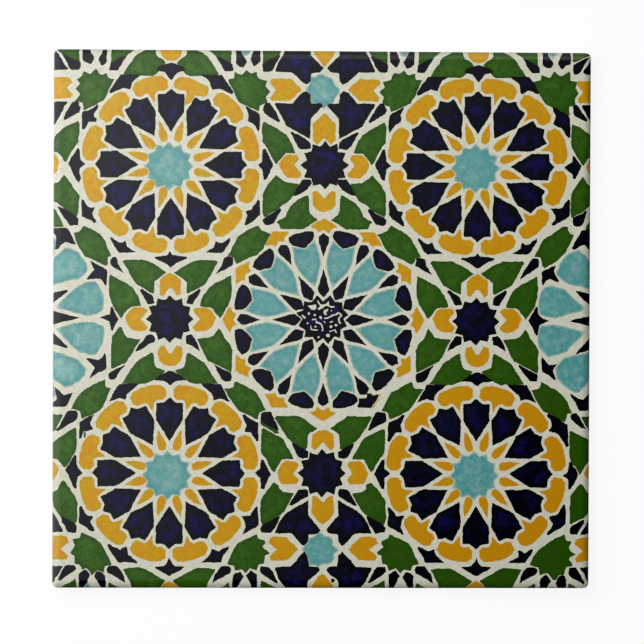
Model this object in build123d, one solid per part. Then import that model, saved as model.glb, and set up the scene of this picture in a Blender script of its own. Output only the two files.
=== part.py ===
"""A square glazed ceramic wall tile with cushioned face edges and a keyed back.

The tile lies on its back with its glazed face up. The origin is the middle of the back,
on the plane that the key ribs lie in. All sizes are in millimetres.
"""

import os

from build123d import *

# The pressed body
SIDE = 108.0  # a 4-1/4 inch tile, edge to edge
THICKNESS = 6.4  # a nominal 1/4 inch, key ribs to glazed face
CORNER_RADIUS = 1.1  # the four upright corners
CUSHION_RADIUS = 1.8  # where the glazed face rolls over into the sides
ARRIS = 0.4  # small bevel where the sides meet the back

# The key pattern pressed into the back, for the adhesive
KEY_COUNT = 6  # pockets along each side, an even number so that ribs cross in the middle
KEY_DEPTH = 0.5
KEY_RIB = 2.4  # rib left between two pockets, at the back's plane
KEY_BORDER = 6.0  # plain border round the pockets
KEY_CORNER = 1.2  # rounding of each pocket in plan
KEY_DRAFT = 30.0  # slope of a pocket's walls from upright, in degrees


def pressed_body():
    """The plain square slab, with rounded corners, cushioned face edges and an arris."""
    slab = extrude(Rectangle(SIDE, SIDE), THICKNESS)
    slab = fillet(slab.edges().filter_by(Axis.Z), CORNER_RADIUS)
    slab = fillet(slab.faces().sort_by(Axis.Z)[-1].edges(), CUSHION_RADIUS)
    return chamfer(slab.faces().sort_by(Axis.Z)[0].edges(), ARRIS)


def key_pockets():
    """The square grid of shallow drafted pockets that the back is pressed with."""
    pitch = (SIDE - 2 * KEY_BORDER + KEY_RIB) / KEY_COUNT
    width = pitch - KEY_RIB
    mouth = RectangleRounded(width, width, KEY_CORNER)
    pocket = extrude(mouth, KEY_DEPTH, taper=KEY_DRAFT)
    places = GridLocations(pitch, pitch, KEY_COUNT, KEY_COUNT)
    return [place * pocket for place in places]


tile = pressed_body() - key_pockets()

os.makedirs("parts", exist_ok=True)
export_step(tile, "parts/tile.step")
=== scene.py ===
"""Dresses the square wall tile: printed glazed face, glazed sides and bare keyed back."""
import math

import bpy
import numpy as np
from mathutils import Euler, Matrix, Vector, noise
from mathutils.geometry import delaunay_2d_cdt
from mathutils.kdtree import KDTree


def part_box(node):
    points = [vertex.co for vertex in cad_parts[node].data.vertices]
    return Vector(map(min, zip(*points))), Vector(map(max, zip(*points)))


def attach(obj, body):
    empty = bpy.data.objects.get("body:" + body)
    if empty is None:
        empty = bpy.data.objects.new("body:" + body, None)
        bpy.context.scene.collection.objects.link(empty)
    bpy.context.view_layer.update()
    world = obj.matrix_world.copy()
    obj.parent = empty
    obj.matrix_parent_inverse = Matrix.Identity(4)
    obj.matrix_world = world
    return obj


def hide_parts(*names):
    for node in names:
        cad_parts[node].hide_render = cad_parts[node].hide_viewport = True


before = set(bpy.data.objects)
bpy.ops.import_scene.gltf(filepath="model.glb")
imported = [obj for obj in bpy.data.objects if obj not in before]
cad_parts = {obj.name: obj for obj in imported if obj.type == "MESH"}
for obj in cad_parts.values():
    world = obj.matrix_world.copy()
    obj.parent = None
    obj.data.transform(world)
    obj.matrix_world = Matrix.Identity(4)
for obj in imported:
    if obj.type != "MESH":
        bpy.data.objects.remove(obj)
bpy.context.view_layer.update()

# The tile's size comes from the frame. Sizes are in millimetres, and from the stage on in metres
MM = 0.001
tile_low, tile_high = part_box("tile")
SIDE = (tile_high.x - tile_low.x) / MM
THICKNESS = (tile_high.z - tile_low.z) / MM
CORNER_RADIUS = 1.1
CUSHION_RADIUS = 1.8
ARRIS = 0.4

# The key pattern of the back
KEY_COUNT = 6
KEY_DEPTH = 0.5
KEY_RIB = 2.4
KEY_BORDER = 6.0
KEY_CORNER = 1.2
KEY_DRAFT = math.radians(30.0)

# How the print was drawn: rounded corners, wavering lines and some play in its place
PRINT_SCALE = 0.997
PRINT_SHIFT = (-0.05, 0.02)
PEN_CORNER = 0.14
PEN_STEP = 0.45
SHARPEST = 0.5
INK_SHARPEST = 0.6
LONGEST_CUT = 0.45
PULL_ROUNDS = 4
WAVERS = [(1.6, 0.12), (0.5, 0.14)]
WAVER_SEED = 1
GROWTH = {"green": 0.06, "yellow": 0.18, "turquoise": 0.24, "navy": 0.08}
BLEED = [(0.15, 1), (0.5, 2), (1.1, 3)]
CLEARING = 0.35
CLEAR_SHARE = 0.85
DEPTH_SHARE = 0.93
EDGE_GAP = 0.05
PRINT_MARGIN = 0.3
ON_AXIS = 0.001
DOT_SIDES = 8

# Where the screen stretched: middle of the patch, its reach and how far the print moved
PULLS = [
    ((12.0, 35.0), 8.0, (-0.28, 0.0)),
    ((12.0, -29.0), 8.0, (-0.35, 0.0)),
    ((48.0, 36.0), 12.0, (0.42, 0.0)),
    ((48.0, -31.0), 10.0, (0.32, 0.0)),
    ((-48.0, -25.0), 11.0, (-0.4, 0.1)),
    ((-48.0, -46.0), 8.0, (-0.25, 0.15)),
    ((49.0, -49.0), 6.0, (0.0, -0.3)),
    ((-49.0, 49.0), 6.0, (0.25, 0.1)),
    ((-51.0, -25.0), 4.0, (0.1, -0.4)),
    ((51.0, 24.0), 4.0, (0.2, 0.1)),
    ((51.0, -25.0), 4.0, (0.3, -0.4)),
]

# Later inks cover earlier ones. White stands for the places where the glaze shows
INKS = ["green", "yellow", "turquoise", "navy", "white"]

# Half motifs of the twelve-fold wheels: (along the ray, to its left). The other half mirrors
NAVY_PETAL = [
    (6.65, 0), (10.75, 2.6), (14.05, 2.6), (14.15, 1.15), (15.15, 0)
]
HAMMERHEAD = [
    (12.8, 0), (14.4, 0.45), (15.0, 0.95), (15.05, 1.6), (14.75, 2.4), (15.15, 3.25),
    (16.6, 3.55), (17.5, 2.8), (17.85, 1.4), (17.95, 0)
]
TEARDROP = [
    (4.8, 0), (4.95, 0.5), (5.6, 0.75), (6.4, 0.72), (7.4, 0.5), (9.2, 0)
]
AQUA_PETAL = [
    (7.15, 0), (9, 1.17), (11.1, 2.27), (12.8, 2.4), (15.55, 2.25), (14.6, 0.3), (14.5, 0)
]
INNER_SLIVER = [
    (4.55, 0), (5.75, 1.1), (6.3, 1.1), (10.2, 0)
]
OUTER_SLIVER = [
    (12.75, 0), (15.7, 1), (16.6, 1), (17.35, 0)
]
RIM_OVAL = [
    (14.9, 0), (15.45, 1.05), (16.15, 2.15), (16.8, 2.5), (17.65, 2.55), (18.05, 1.6), (18.15, 0)
]
RIM_SPARK = [
    (18.3, 0), (17.6, 1.1), (18.35, 1.4), (18.75, 2.7), (19.3, 1.7), (20.3, 0)
]
SIDE_PETAL = [
    (8, 0), (13.8, 3.35), (16.9, 3.2), (17.7, 1.2), (17.7, 0)
]
SIDE_SLIVER = [
    (5.5, 0), (7.3, 1.7), (12.5, 0)
]
SIDE_ARROW = [
    (15.8, 0), (17.9, 0.85), (18.5, 3.1), (20.5, 0)
]

# The upper half's cells between the axes through the left rosettes and the middle
UPPER = {
    "green": [
        [(-11.9, 39.7), (-9.9, 38.7), (-7.4, 37.1), (-6.6, 35.9), (-5.5, 33.5), (-7.5, 33.4),
         (-8.6, 32.2), (-9.3, 31.2), (-9.7, 31.6), (-11.4, 34.8), (-12.1, 35.6), (-12.2, 38.8)],
        [(-9.4, 29), (-8.2, 28), (-7.3, 27.5), (-4.9, 27.2), (-5.1, 26.5), (-5.9, 25),
         (-6.6, 23.9), (-8.2, 22.9), (-9.2, 22), (-11.7, 20.6), (-12, 21.8), (-12, 24.8),
         (-11.8, 25.7), (-11, 27)],
        [(-0.9, 20), (-2.4, 21.1), (-2.7, 21.6), (-2.8, 24), (-3, 25), (-4.9, 24), (-6.3, 22.9),
         (-7.1, 21.5), (-7.4, 20.6), (-9.2, 19.6), (-8.6, 19), (-8.5, 18.2), (-4, 18.2),
         (-3.3, 18.5), (-2.1, 19.4)],
        [(-13, 18.9), (-12.3, 17.8), (-10.3, 17.1), (-10.8, 16.4), (-11.6, 14.8), (-12.3, 13.8),
         (-13.2, 13), (-15.1, 12.3), (-17.2, 11.1), (-17.6, 11.6), (-17.8, 12.4), (-18.9, 12.8),
         (-18.5, 13.6), (-17, 16.4), (-15.2, 17.8)],
        [(-29.7, 9.3), (-27.6, 10.7), (-26.9, 11.1), (-25.3, 11.8), (-21.4, 11.8), (-21, 11.5),
         (-21.6, 10.6), (-22.3, 9.2), (-23.4, 7.2), (-24.6, 6.4), (-26.9, 5.2), (-27.2, 5.3),
         (-27.2, 7.5), (-28.1, 8.2)],
        [(-18.4, 8.8), (-18.2, 6.5), (-18.3, 4.8), (-18.8, 3), (-20.6, 0.2), (-21.2, 1),
         (-22, 2.1), (-22.5, 2.4), (-24.6, 2.6), (-24.4, 3.5), (-23.8, 4.8), (-23, 6.1),
         (-21.8, 7)],
        [(-29.4, 51.3), (-28.8, 52.1), (-27.8, 52.5), (-27.4, 53), (-27.3, 54.2), (-25.6, 54.2),
         (-24.3, 53.4), (-23.2, 52.7), (-22.6, 51.6), (-21.8, 50.6), (-21, 49.2), (-21, 48.9),
         (-26.8, 48.8), (-27.5, 49.1), (-28.2, 49.9), (-28.3, 50.5)],
        [(-23.1, 54.2), (-18.5, 54.2), (-18.5, 51), (-21.4, 52.7)],
        [(-12.1, 54.2), (-12.1, 51.4), (-9, 53), (-8.5, 54.2)],
        [(-15.4, 50.1), (-14.6, 49.3), (-13.5, 49.6), (-12.9, 48.2), (-11.3, 47.8), (-11.7, 46.7),
         (-10.7, 45.8), (-11.5, 44.7), (-11.2, 43.5), (-12.8, 43), (-13, 41.8), (-15.5, 43),
         (-16.9, 43.6), (-17.4, 44.5), (-19.1, 48.1), (-17.9, 48.3), (-17.7, 49.6), (-16.4, 49.1)],
    ],
    "navy": [
        [(-13, 31), (-12.2, 31.7), (-12, 34.1), (-11.6, 34.2), (-10, 31), (-11.3, 28.2),
         (-11.8, 28), (-12.1, 30.2)],
        [(-12, 19.9), (-11.5, 20.5), (-10, 21.3), (-8.6, 22.3), (-8.4, 21.9), (-9.9, 19.3),
         (-10.8, 19), (-11.6, 19)],
        [(-4, 28.1), (-2.5, 28.1), (-2.3, 27.4), (-3.1, 26.2), (-4.9, 25.1), (-5.9, 24.9),
         (-5.2, 26.3)],
        [(-13, 24), (-12.7, 23.8), (-12.6, 21.1), (-13.2, 20.4), (-15.4, 18.9), (-15.6, 19.1),
         (-15, 20.8), (-15.4, 21.7), (-14.3, 21.9)],
        [(-23.5, 13.4), (-21.7, 14.4), (-21.4, 15.6), (-20.7, 15.2), (-20, 15.3), (-18.5, 16.4),
         (-18.5, 15.9), (-19.8, 13.7), (-20.4, 13.3)],
        [(-15.6, 42.9), (-13.2, 41.4), (-12.8, 40.9), (-12.7, 38.2), (-13, 37.8), (-13.9, 39.3),
         (-15, 39.9), (-14.9, 41.3)],
        [(-24.6, 49), (-20.3, 48.9), (-18.1, 45.6), (-18.3, 45.2), (-20.8, 46.4), (-22.2, 46.1),
         (-22.6, 47.4), (-23.2, 48.2)],
        [(-12.1, 42.2), (-11.6, 43.3), (-10.7, 43.4), (-10.1, 42.6), (-8.6, 39.9), (-8.9, 39.6),
         (-11.7, 41.4)],
        [(-6.5, 37.6), (-6.1, 37.6), (-3.2, 36.1), (-2.5, 35.3), (-2.5, 34.4), (-4.3, 34.2),
         (-5, 34.8), (-6, 36.7)],
        [(-21.4, 9.1), (-20.1, 10.8), (-19.8, 12.2), (-18.9, 12.6), (-18.1, 12.4), (-18, 10.9),
         (-19.6, 10)],
        [(-24.4, 5.7), (-24.7, 6), (-26.9, 4.6), (-27.3, 3.2), (-26.1, 3), (-25.4, 4.1)],
        [(-3.4, 45.9), (-2.6, 45.2), (-2.5, 43.4), (-0.4, 43.4), (-0.1, 42.9), (-2.5, 40.5),
         (-2.6, 36.4), (-7.3, 38.9), (-8, 40.2), (-9.7, 43.2), (-9.5, 43.4), (-6.1, 43.4),
         (-4.3, 45.5)],
        [(-3.3, 47.3), (-2.6, 48), (-2.5, 49.5), (-0.7, 49.8), (0, 50.5), (-2.5, 53.1),
         (-2.6, 54.2), (-7.6, 54.2), (-9.6, 50.1), (-9.4, 49.8), (-6.2, 49.7), (-4.2, 47.8)],
        [(-21.6, 52.9), (-18.3, 51.2), (-18.1, 49.9), (-19.6, 49.8), (-20.2, 50.6)],
        [(-12.2, 51.3), (-9, 53.1), (-8.7, 52.9), (-10.3, 50.1), (-10.9, 49.7), (-12, 49.8)],
        [(-17.5, 54.2), (-17.5, 51.5), (-16.8, 50.8), (-16, 50.7), (-15.4, 51.8), (-16.3, 53.2),
         (-16.6, 54.2)],
        [(-13.9, 54.2), (-14.6, 52.2), (-13.9, 50.8), (-12.7, 51.8), (-12.7, 54.2)],
    ],
    "yellow": [
        [(-8.7, 31), (-8.2, 32.2), (-7.4, 32.9), (-6.5, 33.1), (-5.2, 32.9), (-4.9, 32.2),
         (-5.9, 31.1), (-4.3, 29.2), (-4.8, 28.6), (-6.9, 28.5), (-8, 29.6)],
        [(-10.4, 48.2), (-6.6, 48.3), (-4.5, 46.4), (-4.5, 46), (-6.7, 44.1), (-10.3, 44),
         (-10.5, 44.6), (-9.3, 46.1), (-10.6, 47.6)],
        [(-25.8, 1.6), (-25.2, 2.2), (-23.2, 2.2), (-22.3, 1.6), (-21.5, 0.2), (-22.4, -1.6),
         (-23.3, -2.3), (-25.3, -2.4), (-25.9, -1.7), (-24.4, 0)],
    ],
}
# Halves of the upper cells that the middle axis cuts, and of those on the rosettes' axis
UPPER_AXIS = {
    "yellow": [
        [(0, 41.5), (2.2, 39.3), (2.2, 36.1), (1.4, 35.3), (0, 36.7)],
        [(0, 21.7), (1.4, 22.2), (2.2, 22.9), (2.2, 25.6), (1.5, 25.8), (0.9, 25.2), (0, 24.1)],
        [(0, 50.9), (1.8, 53.2), (2.2, 54.2), (0, 54.2)],
    ],
}
ROSE_AXIS = {
    "navy": [
        [(-30.5, 51.4), (-29.2, 51), (-27.9, 50.4), (-27.7, 49.9), (-29.2, 49.6), (-30.5, 48)],
        [(-30.5, 13.5), (-30.1, 12.8), (-27.4, 12.5), (-27.2, 12.2), (-28.9, 11.5), (-30.4, 10.5),
         (-30.5, 10.5)],
    ],
    "yellow": [
        [(-30.5, 9.2), (-29.4, 8.6), (-28.5, 7.8), (-28.5, 5), (-29.1, 4.7), (-30, 6.1),
         (-30.5, 6.3)],
        [(-30.5, 51.9), (-29.6, 52), (-28.7, 52.8), (-28.3, 54.2), (-30.5, 54.2)],
    ],
}
# The same for the lower half, which was drawn anew
LOWER = {
    "green": [
        [(-12, -22.1), (-11.7, -21.9), (-8.2, -23.8), (-7.6, -24.4), (-7, -25.5), (-5.6, -28),
         (-8.1, -28.1), (-9.5, -30.7), (-10, -30.2), (-11.3, -27.8), (-12, -26.9), (-12.2, -25.5)],
        [(-9.6, -32.8), (-8.6, -33.3), (-8.4, -34.2), (-7.7, -34.7), (-5.6, -35), (-6.4, -36.7),
         (-7.5, -38.5), (-8.2, -39.3), (-11.8, -41.2), (-12.2, -40.8), (-12.2, -36.5),
         (-11.7, -35.6), (-10.9, -34.5)],
        [(-1, -21.9), (-4.4, -19.5), (-9, -19.5), (-9.4, -19.8), (-6.9, -23.8), (-6, -24.6),
         (-3.3, -26.1), (-3, -25.8), (-2.8, -23.2), (-2.3, -22.7)],
        [(-17.2, -12.5), (-13.3, -14.6), (-12.9, -15.1), (-11.3, -18.2), (-12.5, -18.5),
         (-12.8, -19.2), (-12.9, -20.1), (-15.6, -18.9), (-16.8, -18.2), (-17.7, -17),
         (-19.6, -14), (-18.2, -13.9), (-17.6, -13.6), (-17.5, -12.7)],
        [(-29.5, -10.4), (-28, -9.9), (-27.6, -9.6), (-27.3, -8.6), (-27.1, -7), (-26.8, -6.8),
         (-25, -7.9), (-23.6, -8.8), (-23, -9.7), (-22, -11.3), (-21, -12.9), (-25.5, -13),
         (-26.6, -12.6), (-28.7, -11.5)],
        [(-20.7, -1.9), (-20.4, -2.2), (-19.7, -3.7), (-18.6, -5), (-18.1, -6.3), (-18.2, -10.6),
         (-19.1, -10.2), (-21.6, -8.9), (-22.9, -8.3), (-23.5, -7.3), (-24.4, -5.3), (-25.1, -4),
         (-23, -3.8), (-21.9, -3.5)],
        [(-13, -43.3), (-12.7, -44.1), (-11.4, -44.5), (-11.3, -45), (-11.9, -45.8),
         (-10.5, -46.8), (-10.5, -47.1), (-11.4, -47.5), (-11.5, -49.1), (-12.6, -49.3),
         (-12.9, -50.4), (-14.3, -50), (-15.2, -51), (-15.9, -50.2), (-17.2, -50.5),
         (-17.6, -49.4), (-18.9, -49.2), (-17.4, -46), (-16.6, -45), (-15.1, -44.2)],
        [(-29.7, -52.6), (-27.6, -51.4), (-25.7, -50.3), (-24.8, -50), (-22.5, -50.1),
         (-21.3, -50.3), (-22.2, -52), (-22.8, -53.2), (-23.1, -54.2), (-28.4, -54.2)],
        [(-20.5, -54.2), (-18.5, -53), (-18.3, -54.2)],
        [(-12.1, -54.2), (-12, -52.5), (-10.5, -53.3), (-8.8, -54.2)],
    ],
    "navy": [
        [(-12.2, -28.2), (-11.7, -28.3), (-10.2, -31.1), (-11.3, -33.3), (-11.6, -34),
         (-12.1, -34), (-12.2, -31.8), (-13.3, -30.9), (-12.2, -30)],
        [(-15.9, -19.3), (-15.5, -19.2), (-14.6, -19.9), (-13, -20.8), (-12.8, -21.2),
         (-12.8, -24.3), (-13.1, -24.5), (-13.9, -23.2), (-14.3, -22.6), (-15.5, -22.5),
         (-15.1, -21.2)],
        [(-12.2, -19), (-11.9, -18.7), (-10.5, -18.6), (-10.1, -18.9), (-8.7, -22.1), (-9, -22.2),
         (-12.2, -20.4)],
        [(-5.9, -24.9), (-5.5, -25), (-3, -26.4), (-2.7, -26.6), (-2.8, -27.7), (-3.9, -27.9),
         (-4.8, -27.6), (-5.2, -26.6)],
        [(-4.4, -34.2), (-2.9, -34.2), (-2.6, -34.7), (-2.8, -35.6), (-4, -36.2), (-5.9, -37.4),
         (-6.4, -37.3), (-5, -34.9)],
        [(-2.7, -36.4), (-2.7, -39.4), (-0.2, -42.3), (-0.7, -42.9), (-2.6, -43.1), (-2.8, -44.8),
         (-3.4, -45.4), (-3.9, -45.3), (-5.7, -43.2), (-6.1, -43), (-9.3, -42.9), (-8.2, -40.4),
         (-7.2, -39.1), (-4.6, -37.5)],
        [(-3.4, -46.7), (-2.8, -47.5), (-2.5, -49.7), (-0.7, -49.8), (-0.3, -50.4), (-1, -51.2),
         (-2.5, -52.3), (-2.8, -52.8), (-2.8, -54.2), (-7, -54.2), (-8.2, -52.6), (-9.3, -50.2),
         (-9.1, -49.9), (-6.2, -49.8), (-5, -48.5)],
        [(-8.3, -39.6), (-9, -39.8), (-11.8, -41.3), (-12.2, -42), (-11.9, -42.8), (-10.2, -43),
         (-8.8, -40.9)],
        [(-13, -37.7), (-12.8, -38), (-12.7, -41.3), (-13, -41.7), (-15.9, -43.3), (-15.2, -41.8),
         (-15.3, -40.8), (-15.9, -39.6), (-14.3, -39.5), (-13.7, -38.6)],
        [(-18.7, -45.7), (-18.7, -46.2), (-20, -47.9), (-20.1, -48.8), (-24, -48.9),
         (-22.2, -47.4), (-21.9, -46.2), (-20.7, -46.7), (-19.8, -46.1)],
        [(-20.1, -49.7), (-18.5, -49.7), (-18.1, -50.3), (-18.3, -51), (-20.2, -52), (-21.7, -53),
         (-21.3, -51.4)],
        [(-12.1, -49.8), (-10.6, -49.8), (-10, -50.4), (-8.7, -52.9), (-9, -53), (-11.9, -51.1),
         (-12.2, -50.6)],
        [(-16.2, -50.8), (-15.7, -51.8), (-16.4, -53.1), (-17.1, -54.2), (-17.8, -54.2),
         (-17.7, -51.6), (-17.2, -51.1)],
        [(-14.1, -50.5), (-12.9, -51.3), (-12.9, -54.2), (-13.8, -54.2), (-15, -51.5)],
        [(-24.3, -13), (-20.4, -13.1), (-20, -13.8), (-19.3, -15.1), (-18.5, -16.6),
         (-20.5, -15.8), (-21.7, -16.2), (-21.9, -15.1), (-23.5, -13.8)],
        [(-21.7, -9.1), (-20.2, -10), (-18.3, -10.9), (-18.1, -11.5), (-18.3, -12.5),
         (-19.5, -12.5), (-20.1, -12.1)],
        [(-27.3, -3.4), (-26.3, -3.2), (-26, -3.5), (-25, -5), (-24.6, -6.3), (-26.2, -5.2),
         (-27.2, -4.9)],
    ],
    "yellow": [
        [(-8.8, -31), (-8, -29), (-7.2, -28.5), (-5.1, -28.7), (-4.7, -29.4), (-5.8, -31),
         (-4.6, -32.3), (-5.1, -33), (-7.9, -33), (-8.4, -32.3)],
        [(-10.5, -44.9), (-10.1, -44), (-9, -43.7), (-7.1, -43.9), (-5.9, -45), (-4.8, -46.2),
         (-6.8, -48.3), (-10, -48.4), (-10.3, -47.7), (-8.7, -46.3)],
    ],
}
LOWER_AXIS = {
    "yellow": [
        [(0, -22.2), (1, -22.5), (2, -23.2), (2.2, -25.6), (1.6, -26.2), (0, -24.4)],
        [(0, -37.1), (1.2, -35.6), (2, -35.6), (2.2, -38.8), (1.2, -40.1), (0, -41.2)],
        [(0, -51.3), (0.8, -51.8), (2, -53.5), (2.1, -54.2), (0, -54.2)],
    ],
}
LOWER_ROSE_AXIS = {
    "navy": [
        [(-30.5, -10.5), (-30, -10.6), (-28.6, -11.4), (-27.4, -12.3), (-29.4, -12.4),
         (-30.4, -13.2), (-30.5, -13.2)],
        [(-30.5, -48), (-29.9, -49.3), (-29.4, -49.7), (-27.5, -49.8), (-28, -50.2),
         (-30.3, -51.5), (-30.5, -51.5)],
    ],
    "yellow": [
        [(-30.5, -9.4), (-29.3, -9.1), (-28.5, -8.4), (-28.1, -7), (-28.4, -5.6), (-29.2, -5.4),
         (-30, -6.8), (-30.5, -7.1)],
        [(-30.5, -52.7), (-29.2, -53.4), (-28.6, -54.2), (-30.5, -54.2)],
    ],
}

# Whole stars: middle, radius to the tips, radius to the notches, colour
SMALL_STARS = [
    ((0.45, 31.05), 4.8, 3.75, "navy"),
    ((0.15, -30.9), 4.8, 3.8, "navy"),
    ((-30.6, 0.0), 4.7, 3.75, "navy"),
    ((31.0, -0.3), 4.7, 3.75, "navy"),
    ((-0.1, 46.25), 3.1, 2.6, "turquoise"),
    ((-0.3, -46.3), 3.1, 2.7, "turquoise"),
]
ROSETTES = [(-30.5, 31.0), (31.15, 30.9), (-30.55, -31.0), (31.15, -31.0)]
ROSETTE_STAR = ((-0.4, -0.35), 4.7, 3.8)
MEDALLION = (0.25, -0.05)
SIDE_MEDALLIONS = [(-61.0, 0.0), (61.4, 0.0)]
FOLD = 12

# The axes that the cells between the wheels mirror about
MIDDLE_AXIS = 0.4
LEFT_AXIS = -30.5
RIGHT_AXIS = 31.25
HEART_SHIFT = 0.3

# The medallion's own star, whose tips and notches wander more than the others'
CENTRE_STAR = [
    (1.6, 4.8), (2.5, 3.5), (3.9, 3.4), (4.0, 2.1), (5.2, 1.0), (4.2, 0.2), (4.9, -1.3), (3.7, -1.9),
    (3.6, -3.6), (2.4, -3.3), (1.3, -4.8), (0.2, -3.7), (-1.1, -4.6), (-1.9, -3.3), (-3.5, -3.5),
    (-3.2, -2.1), (-4.7, -1.2), (-3.9, 0.1), (-5.1, 1.3), (-3.7, 1.9), (-3.6, 3.6), (-2.2, 3.4),
    (-1.0, 4.8), (0.2, 3.6),
]

# The white scribble that the screen left on that star: patches, strokes and dots
SCRIBBLE_PATCHES = [
    [(-2.9, 2.9), (-2.2, 2.8), (-1.3, 3.1), (-1.2, 2.3), (-1.4, 2.0), (-2.1, 2.0), (-2.5, 2.4)],
    [(-0.9, 3.9), (-0.3, 3.2), (0.3, 3.05), (0.9, 3.3), (1.2, 3.8), (1.5, 2.9), (1.7, 2.7), (2.6, 2.7),
     (2.5, 2.35), (1.7, 2.4), (1.0, 2.9), (0.3, 2.4), (-0.6, 1.85), (-1.0, 2.1), (-0.4, 2.8), (-1.1, 3.6)],
    [(0.7, 2.1), (1.2, 2.2), (1.2, 1.8), (0.8, 1.4), (0.9, 1.0), (0.8, 0.8), (0.3, 1.2), (0.3, 1.6)],
]
SCRIBBLE_STROKES = [
    (0.3, [(0.4, 0.3), (1.1, 0.3), (1.9, 0.8), (2.9, 1.1), (3.05, 1.5)]),
    (0.3, [(3.05, 1.5), (3.6, 1.2), (4.0, 0.9), (3.5, 0.5), (3.3, 0.0), (3.5, -0.6), (3.8, -0.8)]),
    (0.28, [(-2.1, 0.0), (-1.3, 0.0), (-1.2, -0.6), (-0.6, -0.6), (-0.1, -1.1), (0.1, -2.0), (0.0, -2.3)]),
    (0.25, [(-2.3, -1.2), (-2.2, -2.0), (-0.9, -2.1)]),
    (0.22, [(1.4, -2.4), (2.1, -2.2), (2.6, -2.0), (2.8, -2.7)]),
    (0.22, [(0.3, -0.3), (0.7, -0.7)]),
    (0.22, [(1.5, -0.6), (2.2, -0.3)]),
    (0.4, [(-4.1, 0.9), (-3.3, 0.3)]),
]
SCRIBBLE_DOTS = [
    (-2.7, 1.2, 0.22), (-1.5, 0.9, 0.26), (-0.35, 0.4, 0.32), (-2.8, -0.7, 0.2), (-1.3, -1.4, 0.2),
    (1.8, -1.4, 0.26), (2.8, -1.1, 0.24), (1.1, -3.2, 0.38), (-0.8, -3.5, 0.24), (1.9, 1.8, 0.16),
]

# Slips of the print that have no mirror image
SLIPS = [
    ("green", [(-12.3, -20.5), (-8.9, -22.2), (-8.6, -22.9), (-9.3, -22.9), (-12.3, -21.0)]),
    ("navy", [(7.3, -17.4), (7.6, -16.9), (7.5, -15.9), (9.0, -15.9), (9.2, -14.9), (9.8, -14.9),
              (10.4, -15.3), (11.4, -15.0), (11.3, -15.7), (10.0, -17.6), (7.5, -17.6)]),
    ("green", [(-47.4, -22.7), (-47.1, -22.7), (-47.1, -23.7), (-47.4, -23.7)]),
    ("navy", [(2.2, -52.2), (2.6, -52.2), (2.6, -52.8), (2.2, -52.8)]),
    ("turquoise", [(-16.3, 54.2), (-15.9, 53.0), (-15.0, 53.4), (-14.7, 54.2)]),
    ("turquoise", [(17.1, 54.2), (16.7, 53.0), (15.8, 53.4), (15.5, 54.2)]),
]
# Slips in the corners, as the pulls leave them
CORNER_SLIPS = [
    ("turquoise", [(45.6, 54.4), (46.1, 53.1), (46.4, 52.9), (46.7, 53.4), (47.1, 54.4)]),
    ("turquoise", [(-47.1, -52.9), (-46.8, -53.4), (-46.4, -54.4), (-47.7, -54.4), (-47.3, -53.3)]),
]
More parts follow.
